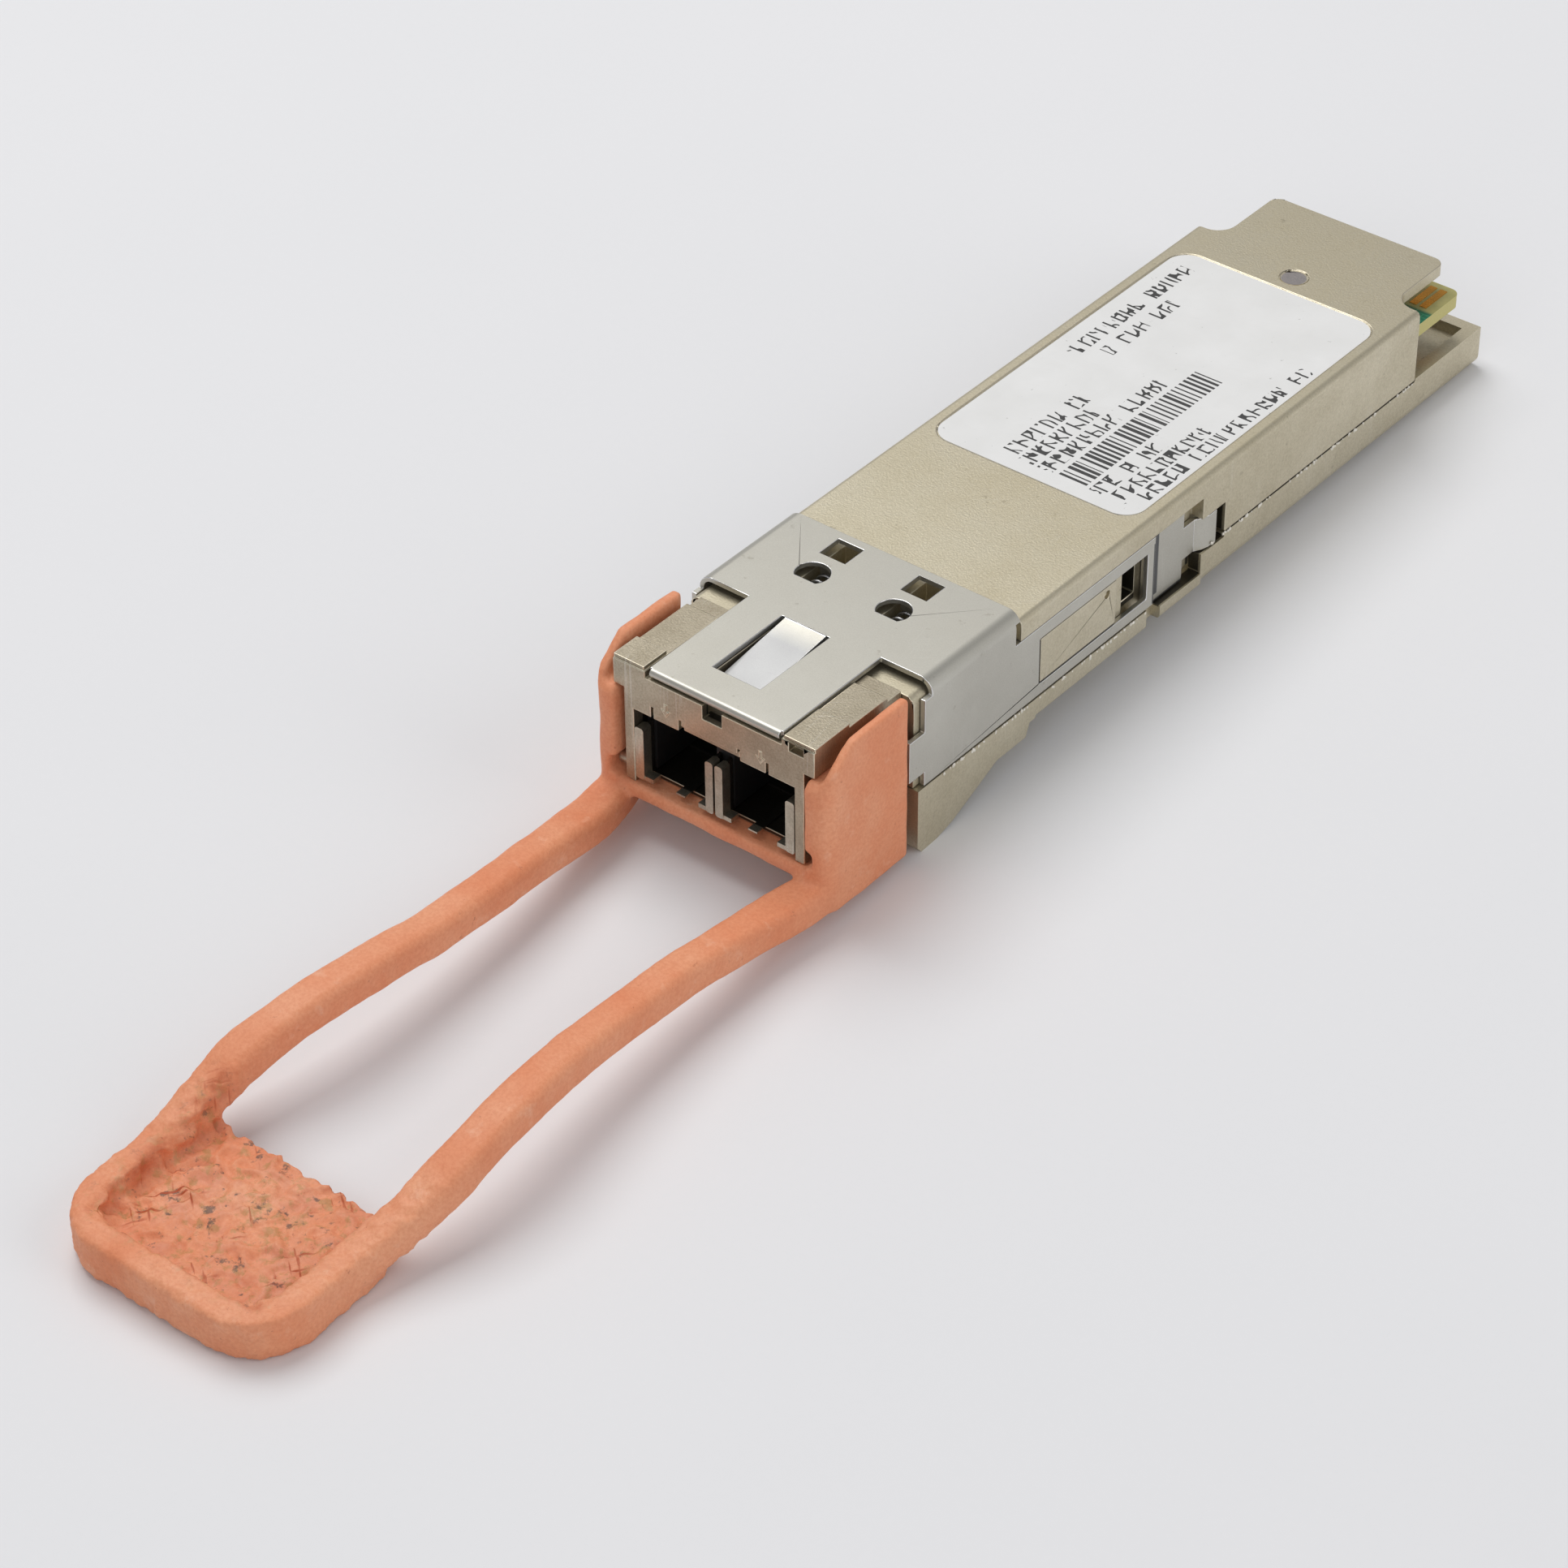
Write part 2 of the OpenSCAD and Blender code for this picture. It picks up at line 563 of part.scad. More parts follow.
module left_return_spring() {
    color([0.6, 0.6, 0.6]) from_face() translate([slot_shift - spring_dx, 0, 0]) return_spring();
}

module right_return_spring() {
    color([0.6, 0.6, 0.6]) from_face() translate([slot_shift + spring_dx, 0, 0]) return_spring();
}

// ---- Pull tab ----

// A point on the arm's centre line between its given points, as a smooth curve through them.
function curve_at(p, i, t) =
    let (a = p[max(i - 1, 0)], b = p[i], c = p[i + 1], d = p[min(i + 2, len(p) - 1)])
    0.5 * (2 * b + (c - a) * t + (2 * a - 5 * b + 4 * c - d) * t * t
        + (3 * b - 3 * c + d - a) * t * t * t);

// The outline of the arm's section, with its corners cut off.
function arm_section(w, h, c) = [[w, c - h], [w, h - c], [w - c, h], [c - w, h],
    [-w, h - c], [-w, c - h], [c - w, -h], [w - c, -h]];

// How far the tab has swung sideways at a given Y.
function swing(y) = let (t = min(max((-24 - y) / 18, 0), 1)) sway * t * t * (3 - 2 * t);

// The right arm. With side -1 it is the left arm's mirror image.
module tab_arm(side) {
    per = 3;
    corner = 0.45;
    line = concat([for (i = [0 : len(arm_line) - 2]) for (k = [0 : per - 1])
        curve_at(arm_line, i, k / per)], [arm_line[len(arm_line) - 1]]);
    tube([for (p = line) [for (s = arm_section(p[3], p[4], corner))
        [p[1] + side * swing(p[0]) + s[0], p[0], p[2] + s[1]]]]);
}

module tab_wall() {
    front = -0.6;
    intersection() {
        translate([0, 0, -5]) linear_extrude(20) difference() {
            union() {
                translate([wall_in, front]) square([wall_out - wall_in - 1.2, 9]);
                translate([wall_in, front + 1.2]) square([wall_out - wall_in, block_y - front - 1.2]);
                translate([wall_out - 1.2, front + 1.2]) circle(1.2);
            }
            translate([wall_in - 5, block_y]) square(12);
            translate([wall_in - 5, -5]) square([5, 20]);
        }
        along_x([5, 12]) polygon([[front, -2.8], [front, 6.4], [front + 0.7, 7.6], [front + 2.8, 9.3],
            [9, 9.3], [9, -2.8]]);
        union() {
            span([5, 12], [-2, 9], [-3, ledge_z]);
            span([wall_thin, 12], [-2, 9], [ledge_z - 1, 10]);
        }
    }
}

module grip() {
    corner = 4.2;
    rim = 2.0;
    web_y = -35.2;
    back = -grip_reach + 17;
    // Laid on the sloping surface under the module.
    translate([sway, 8.7, foot_z]) rotate([stance_deg, 0, 0]) translate([0, -8.7, 0]) {
        difference() {
            linear_extrude(grip_t) difference() {
                soft_rect([-grip_x, grip_x], [-grip_reach, back + 4], corner);
                translate([-20, -37.5]) square([40, 20]);
            }
            for (z = [-1, 1.7]) translate([0, 0, z]) linear_extrude(1.5)
                difference() {
                    soft_rect([rim - grip_x, grip_x - rim], [rim - grip_reach, 0], corner - rim);
                    translate([-20, web_y - 0.01]) square(60);
                }
        }
        translate([0, 0, 0.5]) linear_extrude(1.2)
            translate([-grip_x + 1.5, web_y - 6]) square([2 * grip_x - 3, 6]);
    }
}

module pull_tab() {
    color([0.86, 0.5, 0.4]) from_face() difference() {
        union() {
            both() tab_wall();
            tab_arm(1);
            mirror([1, 0, 0]) tab_arm(-1);
            span([-wall_in - 0.2, wall_in + 0.2], [-0.3, 3.0], [-1.0, 0.04]);
            grip();
        }
        both() span([inner_x, inner_x + sheet_t], [2.2, 9], [2.65, 5.7]);
        both() span([5, 7.95], [-3, 4.0], [0.45, 1.75]);
    }
}

top_housing();
bottom_housing();
receptacle_nose();
nose_pins();
left_port_clip();
right_port_clip();
receptacle_insert();
transmit_sleeve();
receive_sleeve();
transmit_package();
receive_package();
transmit_flex();
receive_flex();
shield_gasket();
circuit_board();
top_contacts();
bottom_contacts();
driver_chip();
receiver_chip();
controller_chip();
board_passives();
driver_thermal_pad();
receiver_thermal_pad();
label();
housing_screws();
left_return_spring();
right_return_spring();
latch_slider();
pull_tab();
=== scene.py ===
# %% [markdown]
# # A pluggable optical transceiver with a pull tab
# The imported CAD model is the fixed frame. This lesson adds what the CAD can't show: softened
# edges, cast and moulded surfaces, print, grime and wear, and it paints some shade and glints. Every
# size is in metres, or in millimetres times MM.

# %% Load the frame
import math
import random

import bpy
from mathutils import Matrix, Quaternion, Vector


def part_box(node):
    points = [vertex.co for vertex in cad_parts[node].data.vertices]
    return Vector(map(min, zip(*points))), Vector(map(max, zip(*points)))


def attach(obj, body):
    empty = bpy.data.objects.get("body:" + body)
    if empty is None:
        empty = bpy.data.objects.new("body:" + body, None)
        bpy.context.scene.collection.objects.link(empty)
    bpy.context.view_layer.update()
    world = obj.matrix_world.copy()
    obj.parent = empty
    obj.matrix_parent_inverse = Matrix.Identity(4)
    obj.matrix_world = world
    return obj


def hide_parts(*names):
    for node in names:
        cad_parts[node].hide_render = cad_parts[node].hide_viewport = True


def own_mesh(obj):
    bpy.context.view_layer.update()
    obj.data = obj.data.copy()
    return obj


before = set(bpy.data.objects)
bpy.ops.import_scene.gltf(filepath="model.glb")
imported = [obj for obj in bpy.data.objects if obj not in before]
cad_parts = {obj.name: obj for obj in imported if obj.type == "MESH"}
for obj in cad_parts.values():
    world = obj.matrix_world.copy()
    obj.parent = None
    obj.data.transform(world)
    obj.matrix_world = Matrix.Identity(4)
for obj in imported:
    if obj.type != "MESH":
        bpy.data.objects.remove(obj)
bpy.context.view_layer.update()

MM = 0.001
FACE_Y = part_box("receptacle_nose")[0].y  # the port face

# %% [markdown]
# ## Camera
# The camera stands to the right of the ports and above them, with a long lens, so that parallel
# edges stay nearly parallel. It is placed before anything else, because every later choice of
# size and detail depends on how large a millimetre looks.

# %% Camera
AZIMUTH, ELEVATION, ROLL = (math.radians(a) for a in (39.16, 38.02, -0.54))
CAMERA_PLACE = (0.14517, -0.20478, 0.17850)
FOCAL_LENGTH = 107.64  # in mm, on a film back 36 mm wide

look = Vector((-math.sin(AZIMUTH) * math.cos(ELEVATION), math.cos(AZIMUTH) * math.cos(ELEVATION),
               -math.sin(ELEVATION)))
camera_data = bpy.data.cameras.new("product_camera")
camera_data.lens = FOCAL_LENGTH
camera_data.sensor_width = 36
camera_data.clip_start, camera_data.clip_end = 0.01, 10
camera = bpy.data.objects.new("product_camera", camera_data)
bpy.context.scene.collection.objects.link(camera)
camera.location = CAMERA_PLACE
camera.rotation_mode = "QUATERNION"
camera.rotation_quaternion = look.to_track_quat("-Z", "Y") @ Quaternion((0, 0, 1), ROLL)
bpy.context.scene.camera = camera
print("camera to port face:", round((Vector(CAMERA_PLACE) - Vector((0, FACE_Y, 0))).length / MM), "mm")

# %% [markdown]
# ## Floor
# The module doesn't lie flat: its foot, the end of its rear shelf and the pull tab's grip touch
# the table. The floor is one plane through those three, tilted about X, so the module itself
# can stay in the CAD model's own place.

# %% Floor
FOOT_DROP = 3.4  # how far the foot reaches below the shelf, in mm
FOOT_TO_SHELF = 63.7
FLOOR_TILT = math.atan2(FOOT_DROP, FOOT_TO_SHELF)
REAR_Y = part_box("bottom_housing")[1].y

bpy.ops.object.select_all(action="DESELECT")
bpy.ops.mesh.primitive_plane_add(size=3, location=(0, REAR_Y, -0.02 * MM), rotation=(FLOOR_TILT, 0, 0))
floor = bpy.context.object
floor.name = "table_top"
print("floor tilt:", round(math.degrees(FLOOR_TILT), 2), "degrees")

# %% [markdown]
# ## Light
# A small bright product is usually shot between large soft panels in a pale room. The key panel
# is high and behind, so it lights the top face. One panel fills the ports' side and one the right
# side. Plated metal shows its surroundings, so the world is pale too. The Standard view keeps
# the pale table pale, where a film-like view would grey it.

# %% Light
def soft_light(name, place, size, power, colour):
    """An area light at place that faces the module."""
    data = bpy.data.lights.new(name, "AREA")
    data.shape = "RECTANGLE"
    data.size, data.size_y = size
    data.energy = power
    data.color = colour
    lamp = bpy.data.objects.new(name, data)
    bpy.context.scene.collection.objects.link(lamp)
    lamp.location = place
    lamp.rotation_euler = (Vector((0, 0, 0)) - Vector(place)).to_track_quat("-Z", "Y").to_euler()
    print(name, power, "W")


WARM_WHITE = (1.0, 0.99, 0.97)
COOL_WHITE = (0.98, 0.99, 1.0)
soft_light("key_panel", (-0.35, 0.1, 0.75), (0.6, 0.6), 4.3, WARM_WHITE)
soft_light("front_panel", (0.25, -0.9, 0.55), (0.8, 0.5), 1.6, COOL_WHITE)
soft_light("right_panel", (0.9, 0.2, 0.5), (0.5, 0.8), 2.4, WARM_WHITE)

# %% Room
bpy.context.scene.view_settings.view_transform = "Standard"
world = bpy.data.worlds.new("pale_room")
bpy.context.scene.world = world
world.use_nodes = True
room = world.node_tree.nodes["Background"]
room.inputs["Color"].default_value = (0.98, 0.985, 1.0, 1)
room.inputs["Strength"].default_value = 0.33
print("world:", world.name)

# %% [markdown]
# ## Tools for shader nodes
# A material is a small tree of nodes. These helpers add a node and wire its inputs in one line,
# which keeps each material short enough to read.

# %% Node helpers
def add_node(tree, kind, inputs=None, **settings):
    """A new node with its settings, and each input set to a value or wired to a socket."""
    made = tree.nodes.new(kind)
    for key, value in settings.items():
        setattr(made, key, value)
    for key, value in (inputs or {}).items():
        if isinstance(value, bpy.types.NodeSocket):
            tree.links.new(value, made.inputs[key])
        else:
            made.inputs[key].default_value = value
    return made


def calc(tree, operation, a, b=0.0, c=0.0, clamp=False):
    """The result of one Math node."""
    node = add_node(tree, "ShaderNodeMath", {0: a, 1: b, 2: c}, operation=operation, use_clamp=clamp)
    return node.outputs[0]


def spread(tree, value, low, high, to_low=0.0, to_high=1.0):
    """Maps value from low..high to to_low..to_high, clamped."""
    node = add_node(tree, "ShaderNodeMapRange", {"Value": value, "From Min": low, "From Max": high,
                                                 "To Min": to_low, "To Max": to_high})
    return node.outputs["Result"]


def object_coords(tree):
    """The place on the piece, in metres, in the frame that all pieces share."""
    return add_node(tree, "ShaderNodeTexCoord").outputs["Object"]


def split(tree, vector):
    """The X, Y and Z of a vector, as the outputs of one node."""
    return add_node(tree, "ShaderNodeSeparateXYZ", {0: vector}).outputs


# %% Colour helpers
def tone(red, green, blue):
    """A colour of 0..255 screen values as linear RGBA."""
    return (*(((v / 255 + 0.055) / 1.055) ** 2.4 for v in (red, green, blue)), 1.0)


def mix_colour(tree, factor, a, b):
    """Two colours mixed by a factor."""
    node = add_node(tree, "ShaderNodeMix", data_type="RGBA")
    for socket, value in ((node.inputs["Factor"], factor), (node.inputs[6], a), (node.inputs[7], b)):
        if isinstance(value, bpy.types.NodeSocket):
            tree.links.new(value, socket)
        else:
            socket.default_value = value
    return node.outputs[2]


def coat(tree, under, mask, strength, over):
    """A colour with another laid over it where mask is high."""
    return mix_colour(tree, calc(tree, "MULTIPLY", mask, strength), under, over)


# %% Group helpers
def new_group(name, inputs, outputs):
    """An empty shader node group with float inputs, given as name: default, and float outputs."""
    group = bpy.data.node_groups.new(name, "ShaderNodeTree")
    for label, default in inputs.items():
        socket = group.interface.new_socket(name=label, in_out="INPUT", socket_type="NodeSocketFloat")
        socket.default_value = default
    for label in outputs:
        group.interface.new_socket(name=label, in_out="OUTPUT", socket_type="NodeSocketFloat")
    return group, group.nodes.new("NodeGroupInput"), group.nodes.new("NodeGroupOutput")


def place_group(tree, group, **values):
    """Puts a group in a tree with its inputs set, and gives its one output."""
    node = add_node(tree, "ShaderNodeGroup", node_tree=group)
    for key, value in values.items():
        node.inputs[key.capitalize()].default_value = value
    return node.outputs[0]


# %% [markdown]
# ## Effects that several finishes share
# Grain, cloudy tone, scratches and spots are each built once as a node group. A group measures
# its pattern in Object coordinates, so a 0.1 mm grain is the same grain on every piece.

# %% Grain: fine speckle at one size
grain_group, g_in, g_out = new_group("fine_grain", {"Size": 0.0001, "Contrast": 1.0}, ["Value"])
per_metre = calc(grain_group, "DIVIDE", 1.0, g_in.outputs["Size"])
noise = add_node(grain_group, "ShaderNodeTexNoise", {"Vector": object_coords(grain_group), "Scale": per_metre,
                                                     "Detail": 3.0, "Roughness": 0.6})
centred = calc(grain_group, "SUBTRACT", noise.outputs["Fac"], 0.5)
raised = calc(grain_group, "MULTIPLY_ADD", centred, g_in.outputs["Contrast"], 0.5, clamp=True)
grain_group.links.new(raised, g_out.inputs["Value"])

# %% Scratches: thin marks stretched along a turned axis
scratch_group, s_in, s_out = new_group(
    "scratches", {"Length": 0.004, "Width": 0.00008, "Turn": 0.4, "Amount": 0.3}, ["Mask"])
coords = object_coords(scratch_group)
turned = add_node(scratch_group, "ShaderNodeVectorRotate", {"Vector": coords, "Angle": s_in.outputs["Turn"]},
                  rotation_type="Z_AXIS").outputs[0]
across = calc(scratch_group, "DIVIDE", 1.0, s_in.outputs["Width"])
along = calc(scratch_group, "DIVIDE", 1.0, s_in.outputs["Length"])
stretch = add_node(scratch_group, "ShaderNodeCombineXYZ", {"X": across, "Y": along, "Z": along}).outputs[0]
scaled = add_node(scratch_group, "ShaderNodeVectorMath", {0: turned, 1: stretch},
                  operation="MULTIPLY").outputs[0]
streak = add_node(scratch_group, "ShaderNodeTexNoise", {"Vector": scaled, "Scale": 1.0, "Detail": 1.0})
where = add_node(scratch_group, "ShaderNodeTexNoise", {"Vector": coords, "Scale": 260.0, "Detail": 1.0})
thin = spread(scratch_group, streak.outputs["Fac"], 0.64, 0.72)
local = spread(scratch_group, where.outputs["Fac"], 0.5, 0.62)
mask = calc(scratch_group, "MULTIPLY", calc(scratch_group, "MULTIPLY", thin, local), s_in.outputs["Amount"])
scratch_group.links.new(mask, s_out.inputs["Mask"])

# %% Spots: grime and stains with ragged outlines
spot_group, p_in, p_out = new_group("spots", {"Size": 0.002, "Cover": 0.3, "Softness": 0.08}, ["Mask"])
per_metre = calc(spot_group, "DIVIDE", 1.0, p_in.outputs["Size"])
noise = add_node(spot_group, "ShaderNodeTexNoise", {"Vector": object_coords(spot_group), "Scale": per_metre,
                                                    "Detail": 6.0, "Roughness": 0.65})
threshold = calc(spot_group, "MULTIPLY_ADD", p_in.outputs["Cover"], -0.4, 0.68)
above = calc(spot_group, "SUBTRACT", noise.outputs["Fac"], threshold)
ragged = calc(spot_group, "DIVIDE", above, p_in.outputs["Softness"], clamp=True)
spot_group.links.new(ragged, p_out.inputs["Mask"])
print("groups:", [g.name for g in bpy.data.node_groups])

# %% [markdown]
# ## Masks for one place
# Shade is painted darker where light doesn't reach: in seams, behind bosses and in the ports.
# A mask is built from ranges in X, Y and Z, so it stays right if the piece's mesh changes.

# %% Masks
def box_mask(tree, x, y, z, soft=0.04, middle=0.0):
    """One inside a box mirrored in X about middle and zero outside it, in mm, with Y counted from the
    port face."""
    place = split(tree, object_coords(tree))
    mask = 1.0
    for axis, (low, high), start in (("X", x, 0), ("Y", y, FACE_Y), ("Z", z, 0)):
        value = place[axis]
        if axis == "X":
            value = calc(tree, "ABSOLUTE", calc(tree, "SUBTRACT", value, middle * MM))
        rise = spread(tree, value, start + (low - soft) * MM, start + (low + soft) * MM)
        fall = spread(tree, value, start + (high + soft) * MM, start + (high - soft) * MM)
        mask = calc(tree, "MULTIPLY", mask, calc(tree, "MULTIPLY", rise, fall))
    return mask


def disc_mask(tree, y, radius, above, soft=0.06):
    """One inside a round mark on the middle line of a top face, with sizes in mm as in box_mask."""
    place = split(tree, object_coords(tree))
    ahead = calc(tree, "SUBTRACT", place["Y"], FACE_Y + y * MM)
    aside = calc(tree, "MULTIPLY", place["X"], place["X"])
    distance = calc(tree, "SQRT", calc(tree, "MULTIPLY_ADD", ahead, ahead, aside))
    return calc(tree, "MULTIPLY", spread(tree, distance, (radius + soft) * MM, (radius - soft) * MM),
                calc(tree, "GREATER_THAN", place["Z"], above * MM))


# %% [markdown]
# ## Finishes
# Every finish is one Principled shader. Its colour, roughness and bump come from the shared
# groups, each at its own size, because no real surface has one even colour.

# %% An empty material
def new_finish(name, **plain):
    """A material with its Principled shader, whose plain sockets are set by name."""
    finish = bpy.data.materials.new(name)
    finish.use_nodes = True
    shader = finish.node_tree.nodes["Principled BSDF"]
    for key, value in plain.items():
        shader.inputs[key.replace("_", " ")].default_value = value
    return finish, finish.node_tree, shader


def add_bump(tree, shader, height, strength, distance=0.02):
    """Feeds a height through a Bump node to the shader's Normal, with the distance in mm."""
    bump = add_node(tree, "ShaderNodeBump", {"Height": height, "Strength": strength,
                                             "Distance": distance * MM})
    tree.links.new(bump.outputs["Normal"], shader.inputs["Normal"])


# %% [markdown]
# ### Metals
# The housings are cast in zinc and nickel plated, which leaves a warm, softly blotched grey. The
# latch slider is satin stainless sheet, cooler and finer. One function makes all of them, since
# they differ only in tone, grain and gloss.

# %% Metals
GATE_GREY = tone(150, 146, 152)
DULL_GREY = tone(148, 150, 156)


def metal(name, light, dark, grain=0.00014, grain_bump=0.5, rough=(0.36, 0.5), scratch=0.25, patch=0.006,
          shade_tone=None, shaded_boxes=(), dulled=(), gate=None):
    """Plated or bare metal: cloudy tone between two colours, fine speckle, scratches and uneven gloss.
    Boxes listed for painted shade take its dark colour, those in dulled turn grey, and the round mark gate
    is a touch cooler."""
    finish, tree, shader = new_finish(name, Metallic=0.92)
    speckle = place_group(tree, grain_group, size=grain, contrast=1.5)
    cloud = place_group(tree, grain_group, size=patch, contrast=2.2)
    marks = place_group(tree, scratch_group, length=0.005, width=0.00009, turn=0.9, amount=scratch)
    rubs = place_group(tree, scratch_group, length=0.009, width=0.00013, turn=-0.15, amount=scratch)
    either = calc(tree, "MAXIMUM", marks, rubs)
    both = calc(tree, "MULTIPLY_ADD", speckle, 0.6, calc(tree, "MULTIPLY", cloud, 0.4))
    colour = mix_colour(tree, both, dark, light)
    colour = mix_colour(tree, either, colour, tone(232, 230, 224))
    dirt = place_group(tree, spot_group, size=0.0009, cover=0.08, softness=0.06)
    colour = coat(tree, colour, dirt, 0.3, tone(120, 108, 84))
    # Painted shade: each listed box is darkened towards the dark shade colour.
    for box in shaded_boxes:
        colour = coat(tree, colour, box_mask(tree, *box), 0.85, shade_tone)
    for box in dulled:
        colour = coat(tree, colour, box_mask(tree, *box), 0.7, DULL_GREY)
    if gate:
        colour = coat(tree, colour, disc_mask(tree, *gate), 0.8, GATE_GREY)
    tree.links.new(colour, shader.inputs["Base Color"])
    gloss = calc(tree, "SUBTRACT", spread(tree, both, 0.2, 0.8, rough[1], rough[0]),
                 calc(tree, "MULTIPLY", either, 0.12))
    tree.links.new(gloss, shader.inputs["Roughness"])
    add_bump(tree, shader, calc(tree, "SUBTRACT", speckle, calc(tree, "MULTIPLY", either, 0.6)), grain_bump)
    print("finish:", name)
    return finish


# %% Places of painted shade and the dulled tongue, as ranges of X, Y and Z for box_mask
POCKET_SILL = ((8.2, 9.05), (33.5, 38.7), (0.9, 1.1))
BEHIND_BOSS = ((6, 9.12), (30.4, 32.4), (2.3, 6.1))
TIP_NOTCH = ((8.2, 9.0), (38.2, 41.5), (1.2, 2.7))
TIP_SLOT = ((8.2, 8.95), (40.6, 41.3), (2.9, 5.4))
BOSS_FRONT = ((8.9, 9.2), (20.9, 21.02), (2.5, 5.9))
BOSS_FOOT = ((8.9, 9.2), (21, 29.5), (2.5, 2.62))
REAR_SEAM = ((9.1, 9.3), (38.6, 64), (2.86, 3.02))
REAR_SEAM_EDGE = ((9.0, 9.3), (38.6, 64), (2.82, 3.06))
FRONT_SEAM_EDGE = ((9.0, 9.3), (9, 33), (1.35, 1.7))
BOSS_FRONT_EDGE = ((8.9, 9.3), (20.7, 21.05), (2.4, 5.9))
BOSS_FOOT_EDGE = ((8.9, 9.3), (20.9, 30.3), (2.4, 2.64))
PORT_HOLLOWS = ((-1, 6.45), (0.9, 9), (0.2, 5.9))
KEY_SLOT = ((-1, 0.9), (0.5, 1), (7, 8.7))
ARM_END = ((8.2, 9.3), (33.2, 34.45), (1.7, 6.4))
PLATE_FOOT = ((8.2, 8.75), (34, 37.3), (1.1, 1.3))
STRIP_HOLLOWS = ((-1, 7), (0.85, 9), (0, 6))
STOP_TONGUE = ((-1, 2.2), (1, 10), (6.5, 9.0), 0.1, -0.4)
MOULDING_MARK = (62.4, 0.88, 8.3)

# %% Nickel plating
# Painted shade in the latch pocket, the slots, behind and at the foot of the boss, and along the rear seam.
nickel = metal("nickel_plated_casting", tone(228, 220, 198), tone(182, 172, 146), scratch=0.12,
               shade_tone=tone(24, 21, 16), gate=MOULDING_MARK,
               shaded_boxes=[POCKET_SILL, BEHIND_BOSS, TIP_NOTCH, TIP_SLOT, BOSS_FRONT, BOSS_FOOT, REAR_SEAM])
# Painted shadow on the worn edges along the seams and at the boss's front and foot.
nickel_edge = metal("worn_nickel_edge", tone(232, 224, 204), tone(190, 180, 156), grain_bump=0.2,
                    rough=(0.32, 0.44), shade_tone=tone(40, 35, 27),
                    shaded_boxes=[REAR_SEAM_EDGE, FRONT_SEAM_EDGE, BOSS_FRONT_EDGE, BOSS_FOOT_EDGE])
# Painted shade: the insides of the ports and the key slot are darkened almost to black.
nose_nickel = metal("nose_nickel", tone(204, 194, 174), tone(142, 132, 112), rough=(0.32, 0.46), patch=0.0025,
                    shade_tone=tone(16, 15, 14), shaded_boxes=[PORT_HOLLOWS, KEY_SLOT])

# %% Sheet, wire, screws and gold
# Painted shade: a dark blue-grey line in the jog at the arm's end and along the plate's foot.
stainless = metal("satin_stainless", tone(210, 208, 199), tone(184, 181, 172), grain=0.00007, grain_bump=0.12,
                  rough=(0.36, 0.48), scratch=0.12, shade_tone=tone(62, 64, 72), shaded_boxes=[ARM_END, PLATE_FOOT],
                  dulled=[STOP_TONGUE])
stainless_edge = metal("bright_sheet_edge", tone(240, 240, 240), tone(214, 214, 214), grain_bump=0.1,
                       rough=(0.16, 0.26))
# Painted shade: the linings are darkened almost to black inside the ports.
strip_metal = metal("worn_strip", tone(214, 208, 192), tone(150, 142, 124), rough=(0.28, 0.4), patch=0.0015,
                    shade_tone=tone(14, 13, 12), shaded_boxes=[STRIP_HOLLOWS])
spring_metal = metal("spring_wire", tone(190, 190, 190), tone(140, 140, 142), rough=(0.25, 0.35))
screw_metal = metal("plated_screw", tone(150, 150, 152), tone(110, 110, 113), rough=(0.3, 0.42))
gold = metal("hard_gold", tone(240, 178, 80), tone(205, 138, 48), grain=0.00006, grain_bump=0.08,
             rough=(0.22, 0.34), scratch=0.5)

# %% [markdown]
# ### Plastics, ceramics and rubbers
# The inside parts are mouldings and fired ceramics with hardly any pattern. They still get a
# slight change of tone and gloss, so that none looks like flat paint when the housing is off.

# %% Plastics, ceramics and rubbers
def moulded(name, light, dark, rough=0.55, grain=0.0001, bump=0.2, metallic=0.0):
    """A plain moulding: slight tone variation, a fine surface and uneven gloss."""
    finish, tree, shader = new_finish(name, Metallic=metallic)
    speckle = place_group(tree, grain_group, size=grain, contrast=1.4)
    cloud = place_group(tree, grain_group, size=0.003, contrast=2.0)
    both = calc(tree, "MULTIPLY_ADD", speckle, 0.4, calc(tree, "MULTIPLY", cloud, 0.6))
    tree.links.new(mix_colour(tree, both, dark, light), shader.inputs["Base Color"])
    tree.links.new(spread(tree, both, 0.2, 0.8, rough + 0.08, rough - 0.08), shader.inputs["Roughness"])
    add_bump(tree, shader, speckle, bump)
    print("finish:", name)
    return finish


black_plastic = moulded("port_black", tone(16, 16, 17), tone(6, 6, 7), rough=0.6)
zirconia = moulded("zirconia", tone(235, 234, 228), tone(220, 218, 210), rough=0.25, bump=0.05)
gold_package = moulded("plated_kovar", tone(225, 190, 120), tone(195, 155, 85), rough=0.32, metallic=0.9,
                       bump=0.1)
polyimide = moulded("polyimide", tone(200, 130, 45), tone(160, 95, 25), rough=0.35, bump=0.1)
epoxy = moulded("chip_epoxy", tone(40, 40, 42), tone(24, 24, 26), rough=0.6)
passive = moulded("passive_ceramic", tone(170, 145, 110), tone(120, 98, 70), rough=0.5, grain=0.0002)
gap_pad = moulded("gap_pad", tone(160, 185, 200), tone(135, 160, 178), rough=0.75)
gasket = moulded("gasket_rubber", tone(60, 60, 62), tone(38, 38, 40), rough=0.8)

# %% [markdown]
# ### Board
# A circuit board is a glass laminate with copper under green varnish. Copper shows through as
# paler lines. The varnish stops short of the card edge, and the sawn sides show bare laminate,
# so both are found by place and by which way the surface faces.

